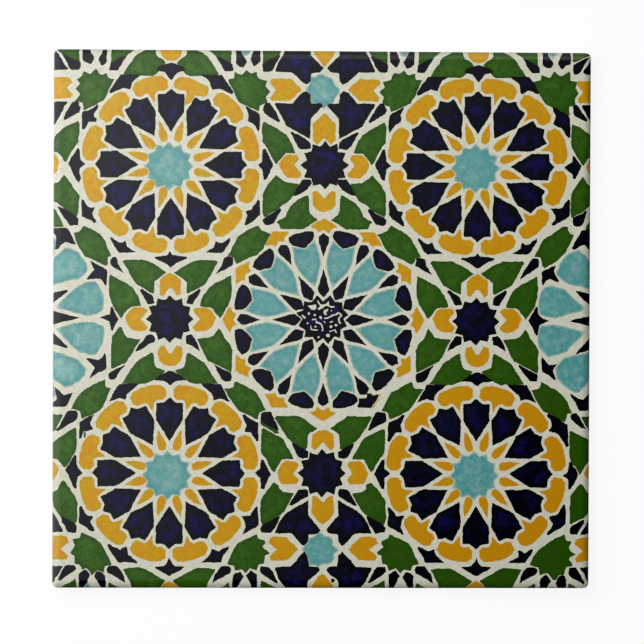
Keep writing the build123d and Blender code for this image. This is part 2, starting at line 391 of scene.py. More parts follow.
# Cells unlike their mirror images, as the pulls leave them. Each replaces the nearest of its ink
REDRAWN = [
    ("turquoise", [(-0.3, 49.3), (0.5, 48.6), (1.5, 48.4), (2, 47.8), (2.1, 47), (3.1, 46.3),
     (3.1, 45.7), (2.5, 45), (2.1, 44.3), (1.7, 43.3), (0.8, 43.2), (0.2, 42.6), (-0.4, 43.2),
     (-2.6, 43.3), (-2.7, 45.2), (-3.2, 46.2), (-2.7, 46.9), (-2.6, 47.7), (-2.6, 48.6), (-1.5, 48.5),
     (-1.1, 49)]),
    ("turquoise", [(-0.3, -42.9), (0.2, -43.4), (0.8, -43.9), (1.6, -43.8), (2.2, -44.3), (2.1, -45.3),
     (3.2, -46.4), (2.4, -47.2), (2.6, -47.9), (2.2, -48.6), (1.2, -49), (0.4, -48.9), (-0.5, -49.6),
     (-1.2, -49.2), (-2.2, -49.2), (-2.5, -48.3), (-2.6, -47.4), (-3.6, -46.2), (-2.8, -45.2),
     (-2.5, -44.1), (-1.4, -43.9), (-0.9, -43.3)]),
    ("yellow", [(-29.7, 47.8), (-28.9, 48.4), (-27.9, 48.5), (-26, 48), (-24.5, 47.2), (-23.5, 46.8),
     (-23.2, 46.5), (-23.2, 45.6), (-23.5, 44.9), (-24, 44.6), (-25.3, 45), (-25.9, 45), (-26.2, 44.3),
     (-26.7, 43.6), (-27.4, 43.1), (-27.8, 42.9), (-27.5, 44), (-27.2, 45.6), (-27.6, 46), (-29, 46.1),
     (-29.6, 46.4), (-30, 47)]),
    ("navy", [(-53.2, 22.5), (-51.2, 21.6), (-49.7, 20.7), (-49, 20), (-49.2, 18.8), (-50.7, 18.8),
     (-51.7, 20.2), (-52.7, 21.6)]),
    ("green", [(-55.9, 22.4), (-53.7, 22), (-53.1, 20.6), (-52.6, 19.9), (-51.9, 18.4), (-55.9, 18.4)]),
    ("navy", [(-54.5, 18.1), (-51.3, 18.1), (-50.9, 17.7), (-49.5, 14.9), (-50.2, 14.9), (-51.3, 15.5),
     (-52.5, 14.8), (-53, 14), (-53.6, 14), (-53.3, 16.1), (-53.5, 16.8), (-54.5, 17.5)]),
    ("navy", [(-48.2, 23.9), (-47.9, 23.7), (-47.3, 22.6), (-46.6, 22.1), (-45.7, 22.2), (-46.2, 21.4),
     (-46.2, 20.7), (-45.5, 19.5), (-45.8, 19.2), (-46.4, 19.8), (-48.3, 20.6)]),
    ("green", [(-48, 18.6), (-47.5, 18.4), (-45.6, 17.5), (-44.7, 17), (-43.9, 16.1), (-43.5, 15.4),
     (-43.4, 14.7), (-42.4, 12.6), (-43, 12.5), (-43.2, 12.1), (-43.2, 11), (-43.4, 10.6),
     (-47.6, 12.6), (-48.8, 14.3), (-49.4, 15.6), (-49.9, 17.2), (-48.7, 17.5), (-48.2, 18)]),
    ("navy", [(-53.6, -13.8), (-53.2, -14.1), (-51.7, -15.6), (-50.9, -15.2), (-50, -14.9), (-51, -17),
     (-51.3, -17.6), (-54.5, -17.7), (-54.5, -17.1), (-53.3, -16.6), (-53.1, -16.1), (-53.5, -14.9)]),
    ("green", [(-55.9, -19.3), (-52, -19.3), (-52.2, -19.9), (-52.9, -21.2), (-53.5, -22.2),
     (-55.9, -24.5)]),
    ("navy", [(-51.2, -18.7), (-50.8, -18.5), (-49.4, -18.6), (-49, -19.1), (-49.1, -20),
     (-49.5, -20.4), (-50.7, -21.1), (-52.1, -22), (-53, -22.5), (-53.5, -22.4), (-52.5, -21.4),
     (-51.7, -19.9)]),
    ("green", [(-43.5, -12.2), (-43.5, -13.5), (-43.3, -13.9), (-42.4, -14), (-43, -15.3),
     (-43.4, -16.5), (-44, -17.7), (-44.7, -18.5), (-46.2, -19.2), (-48.1, -20.1), (-48.4, -18.5),
     (-49.1, -18.3), (-50.2, -18), (-49.5, -16.7), (-48.9, -15.6), (-48.1, -14.8), (-47.1, -14.1),
     (-45, -12.8), (-43.9, -12.4)]),
    ("navy", [(-45.7, -19.2), (-46.1, -19.8), (-46.5, -20.9), (-46, -21.8), (-45.9, -22.2),
     (-47.8, -22.5), (-48.1, -23.3), (-48.2, -23.9), (-48.6, -23.9), (-48.5, -20.9), (-48.1, -20.6),
     (-46.7, -19.6)]),
    ("navy", [(49.6, 24.4), (49.8, 24.2), (49.8, 21.2), (49.2, 20.7), (48.1, 19.9), (46.9, 19.3),
     (46.5, 19.2), (46.3, 19.5), (46.9, 20.2), (47.1, 20.7), (46.9, 21.4), (46, 22.5), (47.7, 22.5),
     (48.3, 22.8), (49, 23.8)]),
    ("navy", [(53.3, 22.3), (53.2, 21.6), (52.7, 19.9), (52.2, 19.2), (51.7, 19), (50.8, 19.1),
     (50.4, 19.7), (50.5, 20.8), (51, 21), (52.3, 21.6)]),
    ("green", [(56.5, 22), (53.9, 19.8), (53.4, 19.2), (53.1, 18.4), (56.5, 18.3)]),
    ("navy", [(52.3, 18.1), (52.9, 18.3), (54.5, 18.2), (54.5, 14), (53.6, 14.6), (53.1, 15.3),
     (52.4, 15.3), (51.6, 14.9), (50.6, 14.4), (50.3, 14.6), (50.9, 15.7), (52, 17.4)]),
    ("green", [(48.7, 19), (49.4, 18.9), (49.6, 18.1), (49.9, 17.4), (50.6, 17.2), (50.4, 16.5),
     (49.2, 14.1), (48.1, 12.8), (47.1, 11.9), (44.8, 10.6), (44.4, 10.9), (44.2, 12.5), (43.9, 12.8),
     (42.8, 12.9), (43.9, 15), (44.6, 16.4), (46.1, 17.2), (47.6, 18.2)]),
    ("green", [(44.2, -12.3), (44.6, -12.6), (47.7, -14.4), (48.5, -15.2), (49.4, -16.4), (50, -17.6),
     (50.5, -18.5), (49.6, -18.7), (49.4, -19.3), (49.2, -20.4), (48.5, -20.2), (46.1, -18.9),
     (44.9, -18.3), (44.2, -17.5), (43.5, -16.5), (42.3, -14.1), (43.9, -13.8), (44.2, -13.4)]),
    ("navy", [(45.8, -18.8), (47.7, -19.8), (48.6, -20.4), (49.6, -21), (49.7, -22.9), (49.8, -25.2),
     (49.5, -25.5), (49.1, -25.1), (48.3, -23.7), (47.7, -22.7), (46.5, -22.5), (46, -22.3),
     (46.4, -21.5), (46.5, -20.9), (46.2, -19.9), (45.6, -19.2)]),
    ("navy", [(50.6, -18.7), (51.4, -18.7), (51.8, -19.1), (53.3, -21.9), (52.5, -21.6), (51.2, -20.7),
     (50.4, -19.9), (50.3, -19.2)]),
    ("green", [(52.4, -19.5), (56.5, -19.5), (56.5, -25.5), (53.6, -21.5)]),
    ("navy", [(50.1, -14.8), (51.8, -15.7), (52.4, -16), (52.9, -15.9), (53.8, -15.1), (54.5, -14.8),
     (54.5, -18.1), (52, -18.1), (51.1, -16.4), (50.3, -15.3)]),
    ("navy", [(48.6, 54.4), (49.9, 54.4), (49.9, 51.7), (49, 51.4), (48.2, 50.7), (47.9, 50.8),
     (47.4, 51.9), (47.8, 52.8), (48.3, 53.5)]),
    ("green", [(50.4, 54.4), (54.3, 54.4), (53.9, 53.6), (53, 53.1), (50.6, 52.1), (50.4, 52.3)]),
    ("navy", [(53.5, 53.1), (52.4, 52.5), (50.7, 51.6), (50.5, 51.3), (50.5, 50), (50.8, 49.7),
     (51.4, 49.7), (51.9, 50.2), (52.5, 51.3), (53.1, 52.3)]),
    ("navy", [(44.3, 54.4), (45.2, 54.4), (45.6, 53), (46.4, 51.7), (46, 51), (45.3, 50.9),
     (44.3, 51.5)]),
    ("green", [(44.1, 49.4), (45.4, 48.9), (45.9, 49), (46.6, 50.1), (47.8, 49.1), (49.6, 50.1),
     (49.8, 48.3), (51.2, 48.1), (50.8, 47), (51.6, 45.8), (50.6, 44.7), (50.9, 43.5), (49.6, 43.2),
     (49.7, 41.4), (49, 41.5), (47.2, 42.6), (46.2, 43), (44.7, 43.8), (44.1, 44.8), (43.3, 46.2),
     (42.4, 48.1), (43.8, 48.3)]),
    ("green", [(-53.4, 54.4), (-49, 54.4), (-48.9, 51.6), (-50.4, 52.1), (-52, 52.9), (-53, 53.5)]),
    ("navy", [(-52.4, 53.1), (-51.7, 52.1), (-51.2, 51.2), (-50.8, 50.2), (-50.3, 49.8), (-49.1, 49.9),
     (-48.8, 50.5), (-48.8, 51.4), (-49.2, 51.6), (-50.4, 52.1)]),
    ("navy", [(-48.2, 54.4), (-47, 54.4), (-46.7, 53.6), (-46, 52.4), (-46.7, 51.1), (-47.1, 51.2),
     (-48, 51.7), (-48.2, 52.1)]),
    ("navy", [(-43.5, 54.4), (-43.5, 51.5), (-43.9, 50.9), (-44.5, 50.9), (-45.1, 52), (-44.4, 53.1),
     (-44, 54.4)]),
    ("yellow", [(-57, 48.3), (-51.1, 48.3), (-50.4, 47.3), (-51.6, 46.3), (-50.3, 44.9), (-50.9, 44.2),
     (-57, 44.1)]),
    ("green", [(-45.6, 50.1), (-46.7, 49), (-48, 49.6), (-48.5, 48.5), (-49.4, 48), (-48.6, 47.1),
     (-49.6, 46.1), (-48.6, 45), (-49.6, 43.6), (-48.1, 43.3), (-47.9, 41.8), (-45.4, 43),
     (-43.9, 43.9), (-43.1, 45.7), (-42, 47.9), (-43.2, 48.1), (-43.4, 49.2), (-44.5, 48.9),
     (-44.9, 49.1)]),
    ("navy", [(-50.9, -49.5), (-49.5, -49.5), (-49.2, -49.9), (-49.3, -50.4), (-50.1, -51),
     (-51, -51.5), (-52.3, -52.5), (-52.8, -52.5), (-52.7, -52.1), (-52.1, -51), (-51.7, -50.2),
     (-51.2, -49.6)]),
    ("green", [(-49.2, -52.2), (-49.1, -54.4), (-52.6, -54.4), (-51.9, -53.8), (-51.1, -53.3),
     (-49.9, -52.7)]),
    ("navy", [(-48.6, -51.2), (-48.1, -50.8), (-47.6, -50.5), (-47.1, -50.6), (-46.5, -51.4),
     (-46.9, -52.3), (-47, -52.9), (-47.9, -53.9), (-48.1, -54.4), (-48.6, -54.4)]),
    ("green", [(-48.2, -42.9), (-47.8, -43), (-46.7, -43.5), (-45.9, -44), (-45, -44.5), (-44.3, -45.1),
     (-43.8, -45.9), (-42.9, -47.6), (-42.1, -49.3), (-43.5, -49.6), (-43.6, -50.9), (-45, -50.4),
     (-45.4, -51), (-46, -51.5), (-46.6, -50.6), (-47.1, -50.1), (-48, -50.3), (-48.1, -49.9),
     (-48.7, -49.2), (-49.4, -49.2), (-49.4, -48), (-49.7, -47.5), (-50.3, -47.1), (-49.9, -46.3),
     (-49.4, -45.6), (-49.8, -44.3), (-48.4, -44.1)]),
    ("navy", [(44.3, -54.4), (44.3, -52.3), (44.8, -51.8), (45.4, -51.4), (45.7, -51.6), (46.3, -52.6),
     (45.9, -53.3), (45.6, -54.4)]),
    ("navy", [(48.1, -54.4), (47.8, -53.7), (47.4, -53), (47.7, -52.1), (48.2, -51.6), (48.8, -51.4),
     (49.2, -51.7), (49.5, -52.3), (49.5, -54.4)]),
    ("navy", [(50.1, -49.9), (51.4, -49.9), (51.7, -50.2), (52.3, -51.2), (53.2, -52.9), (53, -53.2),
     (51.4, -52.3), (50.3, -51.6), (50, -51.1)]),
    ("green", [(50.1, -53.2), (50.5, -53.3), (51.4, -53.8), (51.8, -54.4), (50.1, -54.4)]),
    ("green", [(49.1, -43.1), (49.2, -43.6), (49.4, -44.2), (49.7, -44.5), (50.4, -44.7), (50.4, -45),
     (49.9, -45.8), (50.2, -46.5), (51.4, -47.2), (50.3, -47.7), (50, -48.2), (50.4, -48.8),
     (50.7, -49.5), (49.7, -49.6), (49.2, -50.2), (49, -51.3), (48.1, -51.3), (47.3, -52.3),
     (46.7, -52.2), (46, -51.2), (45.6, -50.9), (44.2, -51.3), (44.1, -50.5), (43.9, -49.7),
     (42.1, -49.3), (42.9, -47.7), (43.5, -46.8), (44.2, -46.1), (46.3, -44.6), (48.5, -43.4)]),
    ("navy", [(38, 49), (41.5, 49), (42, 48.4), (42.6, 47.6), (43.4, 46.1), (43.3, 45.7), (42.9, 45.8),
     (42.4, 46.1), (41.6, 46.4), (41.1, 46.3), (40.6, 45.9), (40, 45.6), (39.7, 45.9), (39.7, 46.8),
     (39.6, 47.5), (39.1, 48), (38.3, 48.4)]),
    ("navy", [(46.4, 43), (46.5, 42.2), (47, 41.3), (47, 40.9), (46.7, 40.3), (46.6, 39.7),
     (46.9, 39.3), (48.2, 38.9), (49.2, 37.2), (49.6, 36.9), (49.9, 37), (49.8, 40.7), (49.6, 41.1),
     (49, 41.6), (48, 42.2), (47.2, 42.7)]),
    ("navy", [(50.5, 43.2), (50.5, 41.9), (50.7, 41.5), (51.2, 41.1), (52.2, 40.5), (52.9, 40.2),
     (53.2, 40.2), (53.2, 40.5), (51.5, 43.2), (51.2, 43.4), (50.8, 43.4)]),
    ("navy", [(-45.3, 42.9), (-45.1, 42.6), (-45.3, 42.2), (-45.7, 41.7), (-46, 41.2), (-46.1, 40.8),
     (-46, 40.4), (-45.5, 40), (-45.5, 39.7), (-45.9, 39.5), (-46.7, 39.5), (-47.1, 39.3),
     (-47.5, 38.6), (-47.9, 38), (-48.1, 38), (-48.3, 38.2), (-48.3, 41.4), (-47.9, 41.5), (-47, 41.7),
     (-46, 42.3)]),
    ("navy", [(-49.9, 43.4), (-49.4, 43.6), (-49, 43.2), (-48.9, 42.6), (-48.6, 42.4), (-49, 41.4),
     (-49.4, 41.2), (-50, 40.8), (-50.8, 40.4), (-51.4, 40), (-51.9, 39.9), (-52.1, 40.2), (-51.7, 41),
     (-51, 42), (-50.5, 42.9), (-50.2, 43.3)]),
    ("navy", [(-48.2, -37.6), (-48.5, -38), (-48.6, -39.6), (-48.5, -40.9), (-48, -41.4),
     (-46.3, -42.4), (-45.8, -42.7), (-45.5, -42.4), (-46.1, -41.3), (-46.4, -40.7), (-45.9, -39.8),
     (-46.1, -39.6), (-46.8, -39.6), (-47.2, -39.3), (-47.7, -38.6)]),
    ("navy", [(-43, -45.4), (-42.6, -45.2), (-42, -45.7), (-41.1, -46), (-40.4, -46.5), (-39.9, -46.1),
     (-39.3, -45.9), (-39, -46.1), (-38.9, -47.3), (-38.1, -47.9), (-37, -48.8), (-37, -49),
     (-39.3, -48.8), (-40.5, -48.9), (-40.9, -48.7), (-41.3, -48)]),
    ("navy", [(49.1, -37.2), (49.3, -37.8), (49.2, -40.9), (49, -41.3), (48.2, -41.9), (47, -42.5),
     (46, -43.2), (45.7, -43.3), (45.6, -42.9), (46.2, -42.2), (46.7, -41.4), (46.8, -41), (46, -39.7),
     (46.3, -39.4), (47.3, -39.4), (47.8, -39), (48.8, -37.4)]),
    ("navy", [(42.5, -46.1), (42.6, -46.5), (42.4, -47.1), (41.7, -48.1), (41.1, -48.9), (38.1, -48.9),
     (38, -48.7), (39.2, -48.1), (39.8, -47.7), (39.9, -47.2), (39.7, -46.5), (40, -46.4),
     (40.6, -46.7), (41.1, -47.1), (41.5, -46.9), (42.1, -46.3)]),
    ("navy", [(53, -40.3), (52.6, -40.3), (51.3, -41.1), (50.4, -41.7), (50.3, -42.1), (50.3, -42.9),
     (50.5, -43.1), (51.6, -43.1), (52.4, -41.8), (53, -40.8)]),
    ("navy", [(-52.3, -39.6), (-51.5, -40), (-50.4, -40.7), (-49.4, -41.2), (-49.1, -41.8),
     (-49.3, -42.8), (-49.7, -43), (-50.7, -42.9), (-51.2, -42.1), (-51.9, -40.8)]),
    ("green", [(52.2, -32.9), (52.6, -33.1), (53.1, -33.9), (54, -34.9), (56, -35), (55.3, -37),
     (54, -38.9), (53.1, -39.7), (51.7, -40.3), (50.5, -41), (50.2, -40.8), (50.2, -36.3),
     (50.4, -35.4), (51.6, -33.8)]),
    ("green", [(50.1, -22.4), (50.4, -22.2), (53.8, -24.1), (54.4, -24.7), (55, -25.7), (56.3, -28.1),
     (54, -28.4), (53.4, -29), (52.8, -30.1), (52.2, -31.1), (51.6, -30.1), (50.8, -29), (50.3, -28.3),
     (50.1, -27.3), (50.1, -25)]),
    ("navy", [(50, -28.6), (50.5, -28.6), (50.9, -29.6), (51.4, -30.2), (51.8, -31.1), (51.3, -32.2),
     (50.6, -33.4), (50.4, -34), (50, -34.1), (49.8, -32.5), (49.6, -31.8), (48.8, -31.3),
     (49.7, -30.7), (50, -30.1)]),
    ("yellow", [(53.1, -31), (53.7, -29.9), (54.1, -29.4), (54.6, -28.9), (56.6, -28.7), (57, -29.4),
     (55.9, -31), (57.1, -32.3), (56.6, -32.5), (54.6, -32.2), (53.9, -31.8), (53.4, -31.4)]),
    ("green", [(50.3, 39.6), (52.1, 38.8), (53, 38.1), (54, 37.5), (55.5, 36.2), (56.2, 33.5),
     (54, 33.1), (53.4, 32.7), (53, 31.9), (52.5, 31.3), (52.2, 31.6), (51.6, 32.7), (50.6, 34.3),
     (50.2, 35), (50.1, 35.7), (50.2, 38)]),
    ("green", [(52.4, 28.9), (52.9, 28.2), (53.3, 27.5), (54, 27.1), (56.8, 27), (56.6, 26.5),
     (55.8, 25), (55.1, 23.9), (53.7, 23.1), (52.7, 22.1), (50.2, 20.7), (50, 21.9), (50.1, 24.8),
     (50.4, 25.7), (51, 26.8), (51.9, 28.3)]),
    ("navy", [(50.5, 33.2), (50.9, 33), (51.4, 32.2), (52.1, 31.2), (52, 30.7), (51.6, 30.1),
     (51.2, 29.1), (50.9, 28.6), (50.5, 28.6), (50.4, 29.5), (49.3, 30.3), (48.8, 30.8), (49, 31.1),
     (49.9, 31.7), (50.4, 32)]),
    ("green", [(-51.8, -32.3), (-51, -33.5), (-50.4, -34), (-50.1, -34.8), (-49.5, -35.7),
     (-49.1, -36.9), (-49, -40.7), (-49.4, -41.1), (-50.4, -40.7), (-52.5, -39.5), (-53.3, -38.3),
     (-53.8, -37.2), (-54, -36.4), (-55, -35.8), (-55.2, -34.9), (-53.9, -34.9), (-53.3, -34.6),
     (-52.8, -34.2), (-52.5, -33.3), (-52.1, -32.5)]),
    ("green", [(-49.3, -22.2), (-49.6, -22), (-53.1, -24.1), (-53.7, -24.8), (-54.3, -25.8),
     (-55.5, -28.1), (-53.2, -28.2), (-52.7, -28.5), (-52.2, -29.2), (-51.7, -29.8), (-51.4, -29.7),
     (-50.9, -29.1), (-49.8, -27.4), (-49.3, -26.3), (-49.1, -25.2)]),
    ("navy", [(-49.5, -27.4), (-49.2, -27.6), (-49.1, -29.8), (-48.7, -30.3), (-48, -30.9),
     (-48.9, -31.7), (-49.2, -32.4), (-49.1, -33.8), (-49.4, -34), (-49.8, -33.5), (-50.3, -32.5),
     (-50.8, -31.2), (-51.4, -30.4), (-50.9, -29.5), (-50.2, -28.4)]),
    ("yellow", [(-52.8, -30.4), (-53, -29.7), (-53.4, -29.2), (-54, -28.7), (-55.9, -28.7),
     (-56.3, -29.4), (-55.2, -31), (-56.4, -32.3), (-55.9, -33), (-54.2, -32.6), (-53.7, -32.2),
     (-53.2, -31.4)]),
    ("green", [(-49.1, 39.5), (-49.7, 39.2), (-51.7, 38.3), (-52.8, 37.5), (-53.5, 36.9), (-53.9, 36),
     (-54.5, 35), (-55.2, 33.5), (-53.1, 33.4), (-52.6, 32.8), (-51.7, 31.4), (-51.4, 31.5),
     (-50.7, 33), (-49.6, 34.7), (-49, 35.4), (-48.9, 38.9)]),
    ("green", [(-51.8, 28.8), (-52.3, 28.1), (-53, 27.2), (-53.9, 27.1), (-56.1, 27), (-55.9, 26.5),
     (-55.1, 25), (-54.4, 23.9), (-52.8, 22.9), (-51.8, 22), (-49.3, 20.6), (-49, 21.8), (-48.8, 24.6),
     (-49.4, 25.5), (-50.2, 26.5), (-51.1, 27.8)]),
    ("navy", [(-49.1, 34.2), (-48.8, 33.8), (-48.7, 31.8), (-47.7, 31), (-48.8, 30.1), (-48.8, 29.1),
     (-48.6, 28), (-48.9, 27.3), (-49.2, 27.5), (-50.2, 29.4), (-50.9, 30.9), (-50.8, 31.4),
     (-49.6, 33.4)]),
    ("yellow", [(-52.9, 31.1), (-53.2, 32.1), (-53.8, 32.8), (-54.5, 33.1), (-55.8, 32.9),
     (-56.1, 32.2), (-55.1, 31.1), (-56.7, 29.2), (-56.2, 28.6), (-54.3, 28.7), (-53.5, 29.6)]),
    ("navy", [(-58.5, 43.4), (-51.5, 43.4), (-51.3, 43.2), (-51.9, 42.6), (-52.3, 41.8), (-52.8, 40.8),
     (-53.5, 39.6), (-53.9, 38.9), (-58.5, 38.5)]),
    ("navy", [(52.5, -43.1), (52.5, -42.8), (53.4, -41.5), (54, -40.4), (54.8, -39.1), (59, -36.4),
     (61.5, -42.3), (59, -45.4), (57, -43.1)]),
    ("navy", [(59, 53.6), (54.4, 52.8), (53.8, 52), (53.1, 51), (52.5, 50.3), (52.6, 49.9),
     (52.9, 49.7), (59, 49.7)]),
    ("navy", [(-58.6, 54.3), (-53.8, 53.9), (-53.4, 53.3), (-51.9, 51), (-51.2, 50.2), (-51.4, 49.9),
     (-58.6, 49.9)]),
    ("navy", [(-58.6, -49.7), (-51.9, -49.7), (-52.1, -50.2), (-52.6, -51), (-53.3, -51.9),
     (-53.8, -53), (-58.6, -53)]),
    ("navy", [(52.5, -49.8), (59, -49.7), (59, -53.6), (54.6, -53.6), (53.7, -52.1), (53.2, -51),
     (52.4, -50)]),
]
# More of them, drawn round the ink as it spread
REDRAWN_INK = [
    ("turquoise", [(43.8, 1.1), (43.55, 2.7), (43.65, 4.2), (44.05, 5.8), (44.9, 6.85), (46, 7.1),
     (49, 6.3), (50.1, 5.2), (52.6, 3.1), (53.2, 2.45), (52.5, 2), (47.3, 0.42), (46.1, 0.42)]),
    ("turquoise", [(44, -1.1), (46.7, -0.77), (49.8, -1.4), (53.2, -2.25), (52.5, -3.2), (49.4, -6.2),
     (48.2, -6.8), (46.9, -7.15), (45.7, -7.5), (44.6, -6.6), (43.7, -5.4), (43.35, -4),
     (43.45, -2.8)]),
    ("turquoise", [(55.7, 5.9), (53.9, 6.35), (50.5, 7.05), (49.1, 7.5), (48, 8.4), (47.1, 9.4),
     (47.2, 9.9), (48, 11.9), (49.7, 13.6), (51.8, 14.5), (54, 12.3)]),
    ("turquoise", [(55.7, -5.7), (53.9, -6.25), (51.7, -6.9), (50.5, -7.05), (49, -7.5), (47.4, -9.1),
     (47, -9.9), (47.3, -11.4), (48.6, -13.2), (50.7, -14.4), (51.8, -14.7), (54, -12.4)]),
    ("navy", [(44.2, 9.85), (46.4, 10.9), (47.05, 11.15), (46.65, 10.05), (47, 9.4), (47.8, 7.95),
     (47.3, 7.85), (46, 8.27), (45.5, 8.2), (45.1, 7.8), (44.5, 7), (44.25, 7.4)]),
    ("navy", [(41.5, 0), (42.55, 1.75), (43.2, 2.75), (43.5, 2.8), (43.6, 1.2), (44, 0.7), (45.7, 0.1),
     (45.75, -0.2), (44.2, -0.77), (43.8, -1.15), (43.6, -3), (43.3, -3.1), (42.3, -1.35)]),
    ("navy", [(44.3, -7.2), (45.35, -8.4), (45.75, -8.95), (47.4, -8.85), (46.75, -9.7), (46.6, -10.2),
     (47.3, -11.9), (47, -12.15), (45.35, -10.9), (44.35, -10.4), (44.2, -8.1)]),
    ("navy", [(49.95, -0.13), (51.3, 0.38), (53.9, 0.9), (56, 1.3), (56, -1.5), (53.9, -1.06),
     (50.9, -0.4)]),
    ("navy", [(51.1, 6.1), (53.9, 5.5), (56.4, 5), (56.4, 2.4), (53.9, 3.45), (52.9, 4.1),
     (51.3, 5.6)]),
    ("navy", [(51.1, -6.85), (53.9, -6), (56.4, -5.2), (56.4, -1.4), (53.9, -3.65), (51.3, -6.35)]),
    ("navy", [(39.8, 8.45), (40.9, 10.4), (41.9, 12.1), (42.4, 12.45), (43.4, 12.5), (43.7, 12.1),
     (43.6, 10.8), (41.9, 9.6), (40.1, 8.4)]),
    ("navy", [(39.7, -8.9), (41.5, -9.9), (43.4, -10.75), (43.6, -11.3), (43.5, -12.1), (43.2, -12.35),
     (41.9, -12.25), (41.3, -11.7), (39.65, -9.1)]),
    ("turquoise", [(-53.4, 2.2), (-52.2, 3.65), (-50.6, 5.3), (-48.9, 6.75), (-46.8, 7.55),
     (-45.6, 7.65), (-44.9, 6.9), (-44.1, 5.4), (-43.8, 3.65), (-43.9, 1.9), (-44.9, 1), (-47.2, 0.5)]),
    ("turquoise", [(-53.5, -2.1), (-50.6, -1.1), (-48.1, -0.55), (-46.2, -0.6), (-44, -1.35),
     (-43.7, -2.1), (-43.7, -3.75), (-44.2, -5.6), (-45.4, -7.35), (-46.2, -7.45), (-48.7, -6.85),
     (-50.6, -5.3)]),
    ("turquoise", [(-55.6, 6.2), (-52.2, 7.2), (-49.1, 7.9), (-48.3, 8.35), (-47, 9.7), (-47.3, 11.15),
     (-48.9, 13.3), (-50.1, 13.95), (-51.3, 14.3), (-53.9, 12.3)]),
    ("turquoise", [(-55.6, -6.2), (-52.2, -6.95), (-50.3, -7.55), (-48.9, -8.15), (-47.2, -10.1),
     (-47.55, -11.35), (-48.6, -12.5), (-50.1, -13.4), (-51.5, -13.95), (-53.9, -12.3)]),
    ("navy", [(-46.55, 11.8), (-45.85, 11.25), (-43.15, 9.85), (-43.2, 7.3), (-43.4, 6.45),
     (-43.7, 6.7), (-44.5, 7.9), (-45.1, 8.15), (-47.35, 7.8), (-47.3, 8.15), (-45.75, 9.8),
     (-46.05, 10.5)]),
    ("navy", [(-44.65, 0.2), (-42.6, 1), (-42.35, 2.3), (-42.1, 2.35), (-41.25, 0.65), (-40.8, -0.1),
     (-42.1, -2.35), (-42.35, -2.3), (-42.7, -0.55), (-43.55, -0.2)]),
    ("navy", [(-43.5, -6.8), (-43.25, -8.1), (-43.25, -10.05), (-43.75, -10.4), (-44.9, -10.85),
     (-46.5, -11.95), (-46.6, -11.75), (-45.55, -9.8), (-47.3, -8.15), (-47.2, -7.9), (-44.9, -8.3),
     (-44.3, -7.85)]),
    ("navy", [(-56, 2), (-53.95, 1.55), (-48.55, 0.05), (-53.95, -1.2), (-56, -1.6)]),
    ("navy", [(-56.4, 4.7), (-53.95, 5.15), (-51.05, 5.75), (-51, 5.4), (-52, 4.75), (-53.95, 3.1),
     (-56.4, 1.8)]),
    ("navy", [(-56.4, -1.8), (-53.95, -2.8), (-51.8, -4.95), (-50.95, -5.75), (-51.25, -6),
     (-53.95, -5.2), (-56.4, -4.8)]),
    ("navy", [(-42.05, 12.5), (-42.6, 11.85), (-42.6, 10.9), (-41.05, 9.85), (-39.75, 9.1),
     (-41.05, 11.15), (-41.25, 12), (-41.65, 12.45)]),
    ("navy", [(-39.35, -9.15), (-41.05, -9.9), (-42.75, -10.8), (-42.9, -11.4), (-42.65, -12.1),
     (-42.2, -12.3), (-41.5, -12.2), (-40.8, -10.95), (-40.15, -10.1)]),
    ("green", [(-40.7, -1.65), (-41.6, -3), (-42.05, -3.3), (-42.4, -5.3), (-42.35, -10),
     (-41.75, -9.9), (-40.5, -9.2), (-39.45, -8.9), (-38.4, -7.3), (-36.4, -4.1), (-38.85, -3.85),
     (-39.25, -3.6), (-39.85, -2.8), (-40.3, -1.8)]),
    ("navy", [(-34.7, -3.05), (-35.3, -3.35), (-36.1, -4.4), (-36.9, -5.3), (-37.4, -6.4),
     (-37.25, -6.55), (-35.9, -5.9), (-34.8, -5.1), (-33.75, -4.65), (-33.55, -4.2), (-33.7, -3.3)]),
]


def wheel(motif, centre, turn):
    """Twelve copies of a half motif and its mirror image, round a wheel's centre."""
    both = motif + [(along, -aside) for along, aside in reversed(motif) if aside]
    copies = []
    for k in range(FOLD):
        angle = math.radians(turn + 360.0 * k / FOLD)
        c, s = math.cos(angle), math.sin(angle)
        copies.append([(centre[0] + u * c - v * s, centre[1] + u * s + v * c) for u, v in both])
    return copies


def star(centre, tip, notch):
    """A star of twelve tips, with one pointing along +X."""
    outline = []
    for k in range(2 * FOLD):
        radius = notch if k % 2 else tip
        angle = math.pi * k / FOLD
        outline.append((centre[0] + radius * math.cos(angle), centre[1] + radius * math.sin(angle)))
    return outline


def mirrored(outline, axis):
    return [(2 * axis - x, y) for x, y in reversed(outline)]


def closed_over(half, axis):
    """The whole outline of which one half is given, beside the axis."""
    return half + [(x, y) for x, y in mirrored(half, axis) if abs(x - axis) > ON_AXIS]


def moved(outline, dx):
    return [(x + dx, y) for x, y in outline]


def cells_between_wheels():
    """The kites, hearts, arrows and stars that fill the ground between the wheels."""
    cells = []
    for group in (UPPER, LOWER):
        for ink, outlines in group.items():
            for outline in outlines:
                right = mirrored(outline, MIDDLE_AXIS)
                cells += [(ink, outline), (ink, right)]
                cells += [(ink, mirrored(outline, LEFT_AXIS)), (ink, mirrored(right, RIGHT_AXIS))]
    for group in (UPPER_AXIS, LOWER_AXIS):
        for ink, outlines in group.items():
            for half in outlines:
                whole = moved(closed_over(half, 0.0), HEART_SHIFT)
                cells.append((ink, whole))
                cells += [(ink, mirrored(whole, axis)) for axis in (LEFT_AXIS, RIGHT_AXIS)]
    for group in (ROSE_AXIS, LOWER_ROSE_AXIS):
        for ink, outlines in group.items():
            for half in outlines:
                whole = closed_over(half, LEFT_AXIS)
                cells += [(ink, whole), (ink, mirrored(whole, MIDDLE_AXIS))]
    cells += [(ink, star(centre, tip, notch)) for centre, tip, notch, ink in SMALL_STARS]
    return cells


